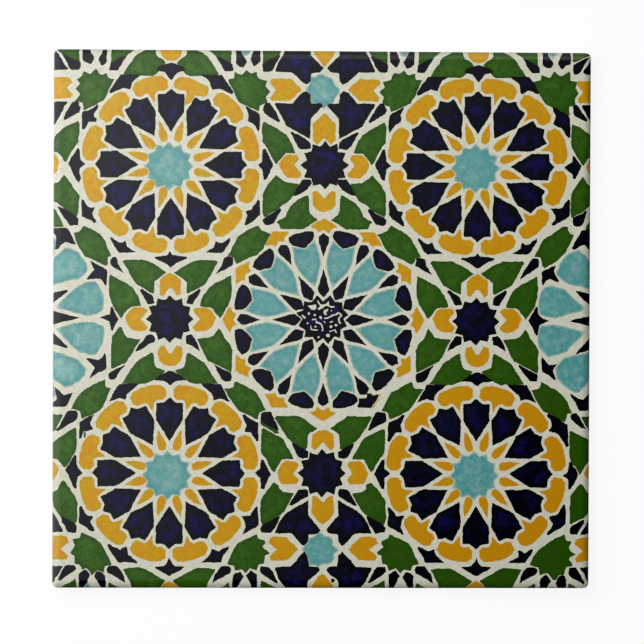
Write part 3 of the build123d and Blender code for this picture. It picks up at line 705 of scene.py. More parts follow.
def cells_of_wheels():
    """The four rosettes, the medallion and the two half medallions that the sides cut."""
    half_turn = 180.0 / FOLD
    placed = []
    for centre in ROSETTES:
        (dx, dy), tip, notch = ROSETTE_STAR
        placed.append(("turquoise", [star((centre[0] + dx, centre[1] + dy), tip, notch)]))
        placed.append(("navy", wheel(NAVY_PETAL, centre, 0)))
        placed.append(("yellow", wheel(HAMMERHEAD, centre, half_turn)))
        placed.append(("yellow", wheel(TEARDROP, centre, half_turn)))
    placed.append(("turquoise", wheel(AQUA_PETAL, MEDALLION, half_turn)))
    placed.append(("navy", wheel(RIM_OVAL, MEDALLION, half_turn)))
    placed.append(("navy", wheel(INNER_SLIVER, MEDALLION, 0)))
    placed.append(("navy", wheel(OUTER_SLIVER, MEDALLION, 0)))
    placed.append(("yellow", wheel(RIM_SPARK, MEDALLION, 0)))
    placed.append(("navy", [CENTRE_STAR]))
    for centre in SIDE_MEDALLIONS:
        placed.append(("turquoise", wheel(SIDE_PETAL, centre, half_turn)))
        placed.append(("navy", wheel(SIDE_SLIVER, centre, 0)))
        placed.append(("navy", wheel(SIDE_ARROW, centre, 0)))
    return [(ink, outline) for ink, outlines in placed for outline in outlines]


def stroke(path, width):
    """The outline of a pen stroke along a path."""
    left, right = [], []
    for i, (x, y) in enumerate(path):
        before, after = path[max(i - 1, 0)], path[min(i + 1, len(path) - 1)]
        run = math.hypot(after[0] - before[0], after[1] - before[1])
        nx, ny = -(after[1] - before[1]) / run, (after[0] - before[0]) / run
        left.append((x + nx * width / 2, y + ny * width / 2))
        right.append((x - nx * width / 2, y - ny * width / 2))
    return left + right[::-1]


def dot(x, y, radius):
    turns = [2 * math.pi * k / DOT_SIDES for k in range(DOT_SIDES)]
    return [(x + radius * math.cos(turn), y + radius * math.sin(turn)) for turn in turns]


def scribble():
    outlines = SCRIBBLE_PATCHES + [stroke(path, width) for width, path in SCRIBBLE_STROKES]
    return [("white", outline) for outline in outlines + [dot(*place) for place in SCRIBBLE_DOTS]]


def middle(outline):
    """The middle of the box that an outline fills."""
    x, y = zip(*outline)
    return (min(x) + max(x)) / 2, (min(y) + max(y)) / 2


def pulled(x, y, dx=0.0, dy=0.0):
    """How far the pulls move a drawn point, on top of what has moved it already."""
    for (px, py), reach, (move_x, move_y) in PULLS:
        weight = math.exp(-((x - px) ** 2 + (y - py) ** 2) / reach**2)
        dx += weight * move_x
        dy += weight * move_y
    return dx, dy


def unpulled(outline):
    """What has to be drawn, to a tenth of a millimetre, for the pulls to bring it to this outline."""
    drawn = []
    for x, y in outline:
        dx = dy = 0.0
        for _ in range(PULL_ROUNDS):
            dx, dy = pulled(x - dx, y - dy)
        drawn.append((round(float(x - dx), 1), round(float(y - dy), 1)))
    return drawn


def redrawn():
    """The cells that were drawn one by one, as they are before they spread and are pulled."""
    cells = [(ink, unpulled(outline)) for ink, outline in REDRAWN]
    for ink, outline in REDRAWN_INK:
        cells.append((ink, unpulled(grown(outline, -GROWTH[ink], INK_SHARPEST))))
    return cells


def with_redrawn(cells):
    """The cells, with each redrawn one in the place of the nearest of its ink."""
    cells = list(cells)
    for ink, outline in redrawn():
        same = [i for i, cell in enumerate(cells) if cell[0] == ink]
        nearest = min(same, key=lambda i: math.dist(middle(cells[i][1]), middle(outline)))
        cells[nearest] = (ink, outline)
    return cells


def on_tile(cell):
    """Whether any of a cell lies on the tile."""
    reach = SIDE / 2 + PRINT_MARGIN
    return any(abs(x) < reach and abs(y) < reach for x, y in cell[1])


def all_cells():
    """Every cell on the tile, as (ink, outline), in the order in which the inks are printed."""
    cells = with_redrawn(cells_between_wheels() + cells_of_wheels()) + SLIPS
    cells += [(ink, unpulled(outline)) for ink, outline in CORNER_SLIPS]
    cells += scribble()
    return sorted(filter(on_tile, cells), key=lambda cell: INKS.index(cell[0]))


# From drawn outlines to the wavering, round-cornered shapes of the screen
def turning(points):
    """Twice the area inside an outline, negative where it runs clockwise."""
    x, y = points[:, 0], points[:, 1]
    return np.sum(x * np.roll(y, -1) - np.roll(x, -1) * y)


def grown(outline, by, sharpest=SHARPEST):
    """The outline moved outwards, with its corners kept as sharp as they were drawn."""
    points = np.array(outline)
    along = np.roll(points, -1, 0) - points
    along /= np.maximum(np.linalg.norm(along, axis=1, keepdims=True), 1e-9)
    away = np.stack([along[:, 1], -along[:, 0]], 1) * (1 if turning(points) > 0 else -1)
    before = np.roll(away, 1, 0)
    spread = 1 + (away * before).sum(1, keepdims=True)
    return points + by * (away + before) / np.maximum(spread, sharpest)


def softened(outline):
    """The outline with each corner cut by a small curve."""
    points = np.array(outline)
    soft = []
    for here, before, after in zip(points, np.roll(points, 1, 0), np.roll(points, -1, 0)):
        ends = []
        for other in (before, after):
            run = np.linalg.norm(other - here)
            ends.append(here + (other - here) * min(PEN_CORNER / run, LONGEST_CUT))
        soft += [ends[0], 0.25 * ends[0] + 0.5 * here + 0.25 * ends[1], ends[1]]
    return soft


def divided(points, step):
    """The outline with its long sides cut into short ones."""
    fine = []
    for here, after in zip(points, points[1:] + points[:1]):
        parts = max(1, round(float(np.linalg.norm(after - here)) / step))
        fine += [here + (after - here) * k / parts for k in range(parts)]
    return np.array(fine)


def printed_at(x, y):
    """Where a drawn point lands on the tile."""
    dx, dy = pulled(x, y, *PRINT_SHIFT)
    for length, reach in WAVERS:
        sway = noise.noise_vector(Vector((x, y, 0.0)) / length) * reach
        dx += sway.x
        dy += sway.y
    return x * PRINT_SCALE + dx, y * PRINT_SCALE + dy


# The tile's own shape
EDGE_ANGLES = [math.radians(a) for a in (0, 15, 30, 45, 60, 75)]
CORNER_PARTS = 6
EDGE_STEP = 2.0
CREASE_SPREAD = 0.25
GLAZE_LINE = 1.15
GLAZE_LINE_WAVE = 0.38
GLAZE_LINE_LENGTH = 9.0
RIPPLE_LENGTH = GLAZE_LINE_LENGTH / 5
RIPPLE_SHARE = 0.4
INPUT_GAP = 1e-4


def rounded_square(half, radius, step=None):
    """Points round a square with rounded corners, counter-clockwise."""
    points = []
    for k, (sx, sy) in enumerate([(1, 1), (-1, 1), (-1, -1), (1, -1)]):
        centre = np.array([sx, sy]) * (half - radius)
        parts = CORNER_PARTS if radius > 0 else 0
        for j in range(parts + 1):
            angle = math.pi / 2 * (k + (j / parts if parts else 0.5))
            reach = radius if parts else 0.0
            points.append(centre + reach * np.array([math.cos(angle), math.sin(angle)]))
    return np.array(points) if step is None else divided(points, step)


def inset_of(points):
    """How far points lie inside the tile's outline, and which way is outwards there."""
    signs = np.where(points < 0, -1.0, 1.0)
    q = np.abs(points) - (SIDE / 2 - CORNER_RADIUS)
    in_corner = (q > 0).all(1)
    round_part = np.linalg.norm(np.maximum(q, 0), axis=1)
    inset = CORNER_RADIUS - round_part - np.minimum(q.max(1), 0)
    lean = np.exp(np.clip(q - q.max(1, keepdims=True), -9, 0) / CREASE_SPREAD)
    lean[in_corner] = q[in_corner]
    lean /= np.linalg.norm(lean, axis=1, keepdims=True)
    return np.maximum(inset, 0.0), lean * signs


def face_height(inset):
    """Height of the face, and the sine of its lean, at a distance inside the outline."""
    sine = np.clip(1 - inset / CUSHION_RADIUS, 0.0, 1.0)
    cosine = np.sqrt(1 - sine**2)
    return THICKNESS - CUSHION_RADIUS * (1 - cosine), sine


def to_outline(points, outline):
    """Distance of each point from a closed outline."""
    a, b = outline, np.roll(outline, -1, 0)
    ab = b - a
    t = np.einsum("pij,ij->pi", points[:, None] - a, ab) / np.maximum((ab**2).sum(1), 1e-12)
    nearest = a + np.clip(t, 0, 1)[..., None] * ab
    return np.linalg.norm(points[:, None] - nearest, axis=2).min(1)


def inside_points(outline, depth, apart):
    """Points a given depth inside an outline, where it is wide enough."""
    points = grown(outline, -depth)[::apart]
    return points[to_outline(points, outline) > DEPTH_SHARE * depth]


def tree_of(points):
    """A search tree over points in plan."""
    tree = KDTree(len(points))
    for i, point in enumerate(points):
        tree.insert((point[0], point[1], 0.0), i)
    tree.balance()
    return tree


def ground_points(outlines):
    """Points of the ground a little way from the cells, where it is wide enough."""
    tree = tree_of([point for outline in outlines for point in outline])
    points = [point for outline in outlines for point in grown(outline, CLEARING)]
    inside = [point for point in points if np.abs(point).max() < SIDE / 2 - EDGE_GAP]
    return [Vector(p) for p in inside if tree.find((*p, 0.0))[2] > CLEAR_SHARE * CLEARING]


def open_rim(triangles):
    """The vertices along the open edge of a sheet of triangles."""
    uses = {}
    for a, b, c in triangles:
        for edge in ((a, b), (b, c), (c, a)):
            key = tuple(sorted(edge))
            uses[key] = uses.get(key, 0) + 1
    return sorted({i for edge, count in uses.items() if count == 1 for i in edge})


class Shape:
    """Vertices, faces and corner normals as they are gathered."""

    def __init__(self):
        self.places = []
        self.depths = []
        self.faces = []
        self.finishes = []
        self.normals = []

    def add_points(self, places, depths=None):
        first = len(self.places)
        self.places += [tuple(map(float, place)) for place in places]
        self.depths += [0.0] * len(places) if depths is None else [float(d) for d in depths]
        return list(range(first, first + len(places)))

    def add_face(self, corners, finish, normals=None):
        """A face, flat unless its corner normals are given."""
        if normals is None:
            a, b, c = (Vector(self.places[i]) for i in corners[:3])
            normals = [tuple((b - a).cross(c - a).normalized())] * len(corners)
        self.faces.append(list(corners))
        self.finishes.append(finish)
        self.normals += [tuple(map(float, n)) for n in normals]


def add_face_sheet(shape):
    """The printed face with its rolled edge. Returns its rim, vertex by vertex."""
    rim = rounded_square(SIDE / 2, CORNER_RADIUS, EDGE_STEP)
    coords = [Vector(p) for p in rim]
    polygons = [list(range(len(rim)))]
    edges = []
    for angle in EDGE_ANGLES:
        inset = CUSHION_RADIUS * (1 - math.sin(angle))
        loop = rounded_square(SIDE / 2 - inset, max(CORNER_RADIUS - inset, 0.0), EDGE_STEP)
        first = len(coords)
        coords += [Vector(p) for p in loop]
        edges += [(first + k, first + (k + 1) % len(loop)) for k in range(len(loop))]
    inks, outlines = ["white"], [None]
    for ink, drawn in all_cells():
        line = grown(drawn, GROWTH[ink]) if ink in GROWTH else drawn
        outline = np.array([printed_at(*p) for p in divided(softened(line), PEN_STEP)])
        if turning(outline) < 0:
            outline = outline[::-1]
        first = len(coords)
        coords += [Vector(p) for p in outline]
        polygons.append(list(range(first, first + len(outline))))
        inks.append(ink)
        outlines.append(outline)
        for depth, apart in BLEED:
            inner = inside_points(outline, depth, apart)
            coords += [Vector(p) for p in inner if np.abs(p).max() < SIDE / 2 - EDGE_GAP]
    coords += ground_points(outlines[1:])
    found = delaunay_2d_cdt(coords, edges, polygons, 1, INPUT_GAP)
    flat, triangles, owners = found[0], found[2], found[5]
    kept = [(t, max(o)) for t, o in zip(triangles, owners) if 0 in o]
    plan = np.array([tuple(p) for p in flat])
    touching = [set() for _ in flat]
    for triangle, owner in kept:
        for i in triangle:
            touching[i].add(owner)
    depths = np.zeros(len(flat))
    for owner in range(1, len(outlines)):
        own = [i for i, owned in enumerate(touching) if owned == {owner}]
        if own:
            depths[own] = to_outline(plan[own], outlines[owner])
    used = [i for i, owned in enumerate(touching) if owned]
    inks_at = [{inks[owner] for owner in owned} for owned in touching]
    borders = tree_of([flat[i] for i in used if len(inks_at[i]) > 1])
    for i in used:
        if len(inks_at[i]) == 1 and (touching[i] == {0} or len(touching[i]) > 1):
            depths[i] = borders.find((*flat[i], 0.0))[2]
    rim = open_rim([triangle for triangle, owner in kept])
    inset, outward = inset_of(plan)
    inset[rim] = 0.0
    height, lean = face_height(inset)
    level = np.sqrt(1 - lean**2)
    normal = np.column_stack([outward * lean[:, None], level])
    new = dict(zip(used, shape.add_points(np.column_stack([plan, height])[used], depths[used])))
    for triangle, owner in kept:
        shape.add_face([new[i] for i in triangle], inks[owner], normal[list(triangle)])
    around = sorted(rim, key=lambda i: math.atan2(plan[i][1], plan[i][0]))
    return [new[i] for i in around], plan[around], outward[around]


def add_band(shape, upper, lower, finish, outward=None):
    """A band of faces between two rings of as many vertices."""
    count = len(upper)
    for k in range(count):
        n = (k + 1) % count
        normals = None
        if outward is not None:
            sides = [(*outward[j], 0.0) for j in (k, n)]
            normals = [sides[0], sides[0], sides[1], sides[1]]
        shape.add_face([upper[k], lower[k], lower[n], upper[n]], finish, normals)


def add_sides(shape, rim, plan, outward):
    """The upright sides: glazed above a wandering line and bare below it, then the arris."""
    sway = [noise.noise(Vector((x, y, 7.0)) / GLAZE_LINE_LENGTH) for x, y in plan]
    ripple = [noise.noise(Vector((x, y, 3.0)) / RIPPLE_LENGTH) for x, y in plan]
    line = [GLAZE_LINE + GLAZE_LINE_WAVE * (s + RIPPLE_SHARE * r) for s, r in zip(sway, ripple)]
    glaze_end = shape.add_points([(x, y, z) for (x, y), z in zip(plan, line)])
    foot = shape.add_points([(x, y, ARRIS) for x, y in plan])
    under = plan - outward * ARRIS
    base = shape.add_points([(x, y, 0.0) for x, y in under])
    add_band(shape, rim, glaze_end, "side_glaze", outward)
    add_band(shape, glaze_end, foot, "bisque", outward)
    add_band(shape, foot, base, "bisque")
    return base, under


def add_back(shape, base, under):
    """The bare back: its ribs and border, and the square grid of drafted pockets."""
    pitch = (SIDE - 2 * KEY_BORDER + KEY_RIB) / KEY_COUNT
    half = (pitch - KEY_RIB) / 2
    draw_in = KEY_DEPTH * math.tan(KEY_DRAFT)
    mouth = rounded_square(half, KEY_CORNER)
    floor = rounded_square(half - draw_in, KEY_CORNER - draw_in)
    places = [(k - (KEY_COUNT - 1) / 2) * pitch for k in range(KEY_COUNT)]
    coords = [Vector(p) for p in under]
    polygons = [list(range(len(under)))]
    ids = list(base)
    for cx in places:
        for cy in places:
            at_mouth = shape.add_points([(x + cx, y + cy, 0.0) for x, y in mouth])
            at_floor = shape.add_points([(x + cx, y + cy, KEY_DEPTH) for x, y in floor])
            first = len(coords)
            coords += [Vector((x + cx, y + cy)) for x, y in mouth]
            polygons.append(list(range(first, first + len(mouth))))
            ids += at_mouth
            add_band(shape, at_mouth, at_floor, "bisque")
            shape.add_face(at_floor[::-1], "bisque")
    found = delaunay_2d_cdt(coords, [], polygons, 1, INPUT_GAP)
    same = [ids[origin[0]] for origin in found[3]]
    for triangle, owned in zip(found[2], found[5]):
        if list(owned) == [0]:
            shape.add_face([same[i] for i in reversed(triangle)], "bisque")


# Finishes. Colours are linear
PAPER = (0.615, 0.612, 0.515)
# Painted shade: the ground's colour at the lower right
PAPER_SHADED = (0.560, 0.560, 0.465)
PAPER_PALE = (0.69, 0.68, 0.58)
PAPER_PINK = (0.70, 0.60, 0.57)
PAPER_GREEN = (0.59, 0.65, 0.44)
PAPER_GREY = (0.53, 0.53, 0.42)
GREEN = (0.030, 0.100, 0.005)
GREEN_LIGHT = (0.052, 0.145, 0.012)
GREEN_DARK = (0.018, 0.066, 0.002)
GREEN_RIM = (0.012, 0.055, 0.002)
# Painted shade: the green's colour at the lower right
GREEN_SHADED = (0.016, 0.058, 0.001)
YELLOW = (0.530, 0.295, 0.004)
YELLOW_ORANGE = (0.590, 0.225, 0.006)
YELLOW_OLIVE = (0.430, 0.275, 0.006)
YELLOW_PALE = (0.570, 0.350, 0.008)
# Painted shade: the yellow's colour at the lower right
YELLOW_SHADED = (0.480, 0.210, 0.002)
TURQUOISE = (0.215, 0.410, 0.385)
TURQUOISE_PALE = (0.340, 0.510, 0.450)
TURQUOISE_GREEN = (0.110, 0.370, 0.300)
TURQUOISE_BLUE = (0.070, 0.260, 0.380)
TURQUOISE_RIM = (0.090, 0.280, 0.270)
TURQUOISE_POOL = (0.030, 0.150, 0.150)
TURQUOISE_WASH = (0.400, 0.490, 0.400)
# Painted shade: the turquoise's colour at the lower right
TURQUOISE_SHADED = (0.045, 0.245, 0.250)
NAVY = (0.0008, 0.0010, 0.0060)
NAVY_BLUE = (0.007, 0.004, 0.115)
# Painted shade: the deep blue's colour at the lower right
NAVY_BLUE_SHADED = (0.004, 0.003, 0.055)
# Near black of the navy's outline, which is also the navy's painted shade at the lower right
NAVY_RIM_AND_SHADE = (0.0004, 0.0010, 0.0012)
BISQUE = (0.62, 0.52, 0.38)
BISQUE_DARK = (0.54, 0.44, 0.31)
BISQUE_LIGHT = (0.70, 0.62, 0.49)
BISQUE_SPECK = (0.20, 0.13, 0.08)
THIN_GLAZE = (0.62, 0.56, 0.44)

# Painted shade: the way in which print and ground grow darker towards the lower right, and from where to
# where
SHADE_DIRECTION = (0.79, -0.61, 0.0)
SHADE_SPAN = (-50.0, 85.0)


class Graph:
    """A material's nodes, chained with short calls."""

    def __init__(self, name):
        self.material = bpy.data.materials.new(name)
        self.material.use_nodes = True
        self.nodes = self.material.node_tree.nodes
        self.links = self.material.node_tree.links
        self.shader = self.nodes["Principled BSDF"]
        scale = self.add("ShaderNodeVectorMath", operation="SCALE")
        scale.inputs["Scale"].default_value = 1 / MM
        self.links.new(self.add("ShaderNodeTexCoord").outputs["Object"], scale.inputs[0])
        self.place = scale.outputs[0]

    def add(self, kind, **settings):
        node = self.nodes.new(kind)
        for key, value in settings.items():
            setattr(node, key, value)
        return node

    def join(self, source, socket):
        self.links.new(source, socket)

    def clouds(self, size, detail=3.0, roughness=0.5, offset=0.0):
        """Soft noise whose features are about that many millimetres across."""
        noise_node = self.add("ShaderNodeTexNoise", noise_dimensions="4D")
        noise_node.inputs["W"].default_value = offset
        noise_node.inputs["Scale"].default_value = 1 / size
        noise_node.inputs["Detail"].default_value = detail
        noise_node.inputs["Roughness"].default_value = roughness
        self.join(self.place, noise_node.inputs["Vector"])
        return noise_node.outputs["Fac"]

    def span(self, source, low, high, to_low=0.0, to_high=1.0):
        """source from low to high, as a smooth step from to_low to to_high."""
        node = self.add("ShaderNodeMapRange", interpolation_type="SMOOTHSTEP")
        node.inputs["From Min"].default_value = low
        node.inputs["From Max"].default_value = high
        node.inputs["To Min"].default_value = to_low
        node.inputs["To Max"].default_value = to_high
        self.join(source, node.inputs["Value"])
        return node.outputs["Result"]

    def mixed(self, amount, first, second):
        """From first to second as amount grows. Each is a colour or a socket."""
        node = self.add("ShaderNodeMix", data_type="RGBA")
        self.join(amount, node.inputs[0])
        for value, socket in ((first, node.inputs[6]), (second, node.inputs[7])):
            if isinstance(value, tuple):
                socket.default_value = (*value, 1.0)
            else:
                self.join(value, socket)
        return node.outputs[2]

    def product(self, first, second):
        node = self.add("ShaderNodeMath", operation="MULTIPLY")
        self.join(first, node.inputs[0])
        self.join(second, node.inputs[1])
        return node.outputs[0]

    def mottled(self, body, colour, size, share, offset, where=None):
        """body with soft spots of a colour, at most as strong as share, where given."""
        amount = self.span(self.clouds(size, 4.0, 0.6, offset), 0.42, 0.66, 0.0, share)
        if where is not None:
            amount = self.product(amount, where)
        return self.mixed(amount, body, colour)

    def depth(self):
        """How far inside its printed cell a point lies, in millimetres."""
        return self.add("ShaderNodeAttribute", attribute_name="ink_depth").outputs["Fac"]

    def shaded_to_lower_right(self, body, colour):
        """body turning into a darker colour towards the lower right: painted shade."""
        along = self.add("ShaderNodeVectorMath", operation="DOT_PRODUCT")
        self.join(self.place, along.inputs[0])
        along.inputs[1].default_value = SHADE_DIRECTION
        return self.mixed(self.span(along.outputs["Value"], *SHADE_SPAN), body, colour)

    def bump(self, height, distance):
        node = self.add("ShaderNodeBump")
        node.inputs["Strength"].default_value = 1.0
        node.inputs["Distance"].default_value = distance * MM
        self.join(height, node.inputs["Height"])
        self.join(node.outputs["Normal"], self.shader.inputs["Normal"])

    def gloss(self):
        """The clear fired glaze over print and ground: smooth, with the slightest orange peel."""
        self.shader.inputs["IOR"].default_value = 1.5
        roughness = self.span(self.clouds(7.0, offset=5.0), 0.3, 0.7, 0.10, 0.16)
        self.join(roughness, self.shader.inputs["Roughness"])
        self.bump(self.clouds(3.5, 2.0, offset=9.0), 0.012)

    def finish(self, colour):
        self.join(colour, self.shader.inputs["Base Color"])
        return self.material


def ground_glaze():
    """The off-white ground, faintly mottled warm and cool, palest beside the inks, and darker towards the
    lower right by painted shade.
    """
    g = Graph("ground_glaze")
    body = g.shaded_to_lower_right(g.mixed(g.span(g.depth(), 0.12, 0.5), PAPER_PALE, PAPER), PAPER_SHADED)
    body = g.mottled(body, PAPER_PINK, 1.5, 0.9, 1.0)
    body = g.mottled(body, PAPER_GREEN, 0.9, 0.8, 3.0)
    body = g.mottled(body, PAPER_GREY, 0.6, 0.8, 5.0)
    g.gloss()
    return g.finish(body)


def green_ink():
    """An even green, clouded a little, pooled darker along its outline, and darker towards the lower right
    by painted shade.
    """
    g = Graph("green_print")
    body = g.mixed(g.span(g.clouds(3.0, 4.0, 0.6), 0.40, 0.66), GREEN, GREEN_LIGHT)
    body = g.mottled(body, GREEN_DARK, 0.8, 0.9, 2.0)
    body = g.shaded_to_lower_right(body, GREEN_SHADED)
    g.gloss()
    return g.finish(g.mixed(g.span(g.depth(), 0.1, 1.1, 0.6, 0.0), body, GREEN_RIM))


def navy_ink():
    """Near black at its outline, with deep blue showing through in the middle, and darker towards the
    lower right by painted shade.
    """
    g = Graph("navy_print")
    inside = g.span(g.depth(), 0.4, 1.4)
    blue = g.product(g.span(g.clouds(1.9, 4.0, 0.65, 6.0), 0.41, 0.66), inside)
    body = g.shaded_to_lower_right(g.mixed(g.span(g.depth(), 0.0, 0.4), NAVY_RIM_AND_SHADE, NAVY), NAVY_RIM_AND_SHADE)
    body = g.mixed(blue, body, g.shaded_to_lower_right(NAVY_BLUE, NAVY_BLUE_SHADED))
    body = g.mottled(body, NAVY_RIM_AND_SHADE, 0.6, 0.7, 2.0)
    g.gloss()
    return g.finish(body)


def yellow_ink():
    """A thin mustard ink with orange clouds, olive edges and a soft outline, darker towards the lower
    right by painted shade.
    """
    g = Graph("yellow_print")
    body = g.mixed(g.span(g.depth(), 0.2, 0.8), YELLOW_OLIVE, YELLOW)
    body = g.mottled(body, YELLOW_ORANGE, 1.8, 1.0, 1.0)
    body = g.mottled(body, YELLOW_PALE, 0.6, 1.0, 4.0)
    body = g.shaded_to_lower_right(body, YELLOW_SHADED)
    g.gloss()
    return g.finish(g.mixed(g.span(g.depth(), 0.0, 0.15, 0.8, 0.0), body, PAPER))


def turquoise_ink():
    """A watery ink: pale and cloudy inside, teal and blotched with blue near its outline, and darker
    towards the lower right by painted shade.
    """
    g = Graph("turquoise_print")
    outer = g.span(g.depth(), 0.5, 1.6, 1.0, 0.3)
    body = g.mixed(g.span(g.clouds(2.2, 4.0, 0.65, 1.0), 0.42, 0.68), TURQUOISE, TURQUOISE_PALE)
    body = g.mottled(body, TURQUOISE_GREEN, 1.5, 0.9, 3.0)
    body = g.mottled(body, TURQUOISE_BLUE, 1.2, 0.9, 5.0, outer)
    body = g.mottled(body, TURQUOISE_RIM, 0.5, 0.9, 7.0, outer)
    body = g.mixed(g.span(g.depth(), 0.6, 1.6, 0.45, 0.0), body, TURQUOISE_RIM)
    body = g.mottled(body, TURQUOISE_POOL, 0.7, 0.9, 9.0, g.span(g.depth(), 0.2, 0.7, 1.0, 0.0))
    body = g.shaded_to_lower_right(body, g.mottled(TURQUOISE_SHADED, TURQUOISE, 1.0, 0.6, 11.0))
    g.gloss()
    return g.finish(g.mixed(g.span(g.depth(), 0.0, 0.45, 0.7, 0.0), body, TURQUOISE_WASH))


def side_glaze():
    """The plain glaze of the sides, thinner and warmer towards its lower edge."""
    g = Graph("side_glaze")
    height = g.add("ShaderNodeSeparateXYZ")
    g.join(g.place, height.inputs[0])
    thin = g.span(height.outputs["Z"], 0.8, 2.6, 1.0, 0.0)
    body = g.mottled(g.mixed(thin, PAPER, THIN_GLAZE), PAPER_PINK, 1.5, 0.6, 1.0)
    body = g.mottled(body, PAPER_GREEN, 1.1, 0.5, 3.0)
    g.gloss()
    return g.finish(body)


def bisque():
    """The bare fired body: matt, sandy and speckled, clouded darker and lighter."""
    g = Graph("bisque")
    body = g.mixed(g.span(g.clouds(14.0, 4.0, 0.6), 0.35, 0.65), BISQUE, BISQUE_DARK)
    body = g.mixed(g.span(g.clouds(5.0, 5.0, 0.6, 2.0), 0.5, 0.75), body, BISQUE_LIGHT)
    specks = g.span(g.clouds(0.55, 2.0, 0.5, 6.0), 0.70, 0.78)
    body = g.mixed(specks, body, BISQUE_SPECK)
    g.shader.inputs["Roughness"].default_value = 0.92
    g.bump(g.clouds(0.45, 4.0, 0.65, 1.0), 0.06)
    return g.finish(body)


FINISHES = {
    "white": ground_glaze,
    "green": green_ink,
    "yellow": yellow_ink,
    "turquoise": turquoise_ink,
    "navy": navy_ink,
    "side_glaze": side_glaze,
    "bisque": bisque,
}


def make_tile():
    """The whole tile as one closed mesh, with a finish for each ink, the sides and the body."""
    noise.seed_set(WAVER_SEED)
    shape = Shape()
    rim, plan, outward = add_face_sheet(shape)
    base, under = add_sides(shape, rim, plan, outward)
    add_back(shape, base, under)
    mesh = bpy.data.meshes.new("printed_tile")
    mesh.from_pydata([Vector(p) * MM for p in shape.places], [], shape.faces)
    order = list(FINISHES)
    for finish in order:
        mesh.materials.append(FINISHES[finish]())
    mesh.polygons.foreach_set("material_index", [order.index(finish) for finish in shape.finishes])
    mesh.polygons.foreach_set("use_smooth", [True] * len(shape.faces))
    depth = mesh.attributes.new("ink_depth", "FLOAT", "POINT")
    depth.data.foreach_set("value", shape.depths)
    mesh.normals_split_custom_set(shape.normals)
    tile = bpy.data.objects.new("printed_tile", mesh)
    bpy.context.scene.collection.objects.link(tile)
    return tile


tile = make_tile()
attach(tile, "root")
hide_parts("tile")

# The camera: a long lens over the tile, a little to the left of its middle
LENS = 150.0
CAMERA_PLACE = (-17.04, 2.55, 544.13)
CAMERA_TURN = (-0.3285, -1.8053, 0.2507)
camera = bpy.data.objects.new("camera", bpy.data.cameras.new("camera"))
camera.data.lens = LENS
camera.location = Vector(CAMERA_PLACE) * MM
camera.rotation_euler = Euler([math.radians(a) for a in CAMERA_TURN])
bpy.context.scene.collection.objects.link(camera)
bpy.context.scene.camera = camera

# The stage: a white floor that keeps a faint shadow, and plain surroundings
FLOOR_SIZE = 6.0
FLOOR_OWN_LIGHT = 0.9
FLOOR_COLOUR = (0.9, 0.9, 0.9)
ROOM_LIGHT = (0.25, 0.25, 0.25)


def seen_directly(nodes, links):
    """1 for rays from the camera, a mirror or glass, else 0."""
    path = nodes.new("ShaderNodeLightPath")
    total = path.outputs["Is Camera Ray"]
    for name in ("Is Glossy Ray", "Is Transmission Ray"):
        either = nodes.new("ShaderNodeMath")
        either.operation = "MAXIMUM"
        links.new(total, either.inputs[0])
        links.new(path.outputs[name], either.inputs[1])
        total = either.outputs[0]
    return total


def plane(name, width, depth, place, turn=(0.0, 0.0, 0.0)):
    corners = [(sx * width / 2, sy * depth / 2, 0.0) for sx, sy in ((-1, -1), (1, -1), (1, 1), (-1, 1))]
    mesh = bpy.data.meshes.new(name)
    mesh.from_pydata(corners, [], [(0, 1, 2, 3)])
    piece = bpy.data.objects.new(name, mesh)
    piece.location = place
    piece.rotation_euler = Euler([math.radians(a) for a in turn])
    bpy.context.scene.collection.objects.link(piece)
    return piece


def bare_material(name):
    """A material without nodes yet, its nodes and its links."""
    material = bpy.data.materials.new(name)
    material.use_nodes = True
    material.node_tree.nodes.clear()
    return material, material.node_tree.nodes, material.node_tree.links


def floor_material():
    """Mostly white of itself to the eye and to mirrors, so that its shadow stays faint."""
    material, nodes, links = bare_material("floor")
    lit = nodes.new("ShaderNodeBsdfDiffuse")
    lit.inputs["Color"].default_value = (*FLOOR_COLOUR, 1.0)
    glow = nodes.new("ShaderNodeEmission")
    share = nodes.new("ShaderNodeMath")
    share.operation = "MULTIPLY"
    share.inputs[1].default_value = FLOOR_OWN_LIGHT
    links.new(seen_directly(nodes, links), share.inputs[0])
    mix = nodes.new("ShaderNodeMixShader")
    links.new(share.outputs[0], mix.inputs[0])
    links.new(lit.outputs[0], mix.inputs[1])
    links.new(glow.outputs[0], mix.inputs[2])
    links.new(mix.outputs[0], nodes.new("ShaderNodeOutputMaterial").inputs["Surface"])
    return material


def room_light():
    world = bpy.data.worlds.new("room")
    world.use_nodes = True
    nodes, links = world.node_tree.nodes, world.node_tree.links
    nodes.clear()
    shade = nodes.new("ShaderNodeMix")
    shade.data_type = "RGBA"
    shade.inputs[6].default_value = (*ROOM_LIGHT, 1.0)
    shade.inputs[7].default_value = (1.0, 1.0, 1.0, 1.0)
    links.new(seen_directly(nodes, links), shade.inputs[0])
    background = nodes.new("ShaderNodeBackground")
    links.new(shade.outputs[2], background.inputs["Color"])
    links.new(background.outputs[0], nodes.new("ShaderNodeOutputWorld").inputs["Surface"])
    bpy.context.scene.world = world


floor = plane("floor", FLOOR_SIZE, FLOOR_SIZE, (0.0, 0.0, 0.0))
floor.data.materials.append(floor_material())
room_light()

# A card above the tile, which its glaze mirrors: bright at the upper left, dark at the lower right
CARD_HEIGHT = 0.9
CARD_SIZE = 2.4
CARD_PLACE = (0.75, -0.60)
CARD_DARK_END = -0.152
CARD_BRIGHT_END = 0.132
CARD_BRIGHTNESS = 1.1
CARD_CURVE = 2.0
CARD_AZIMUTH = math.radians(151.4)

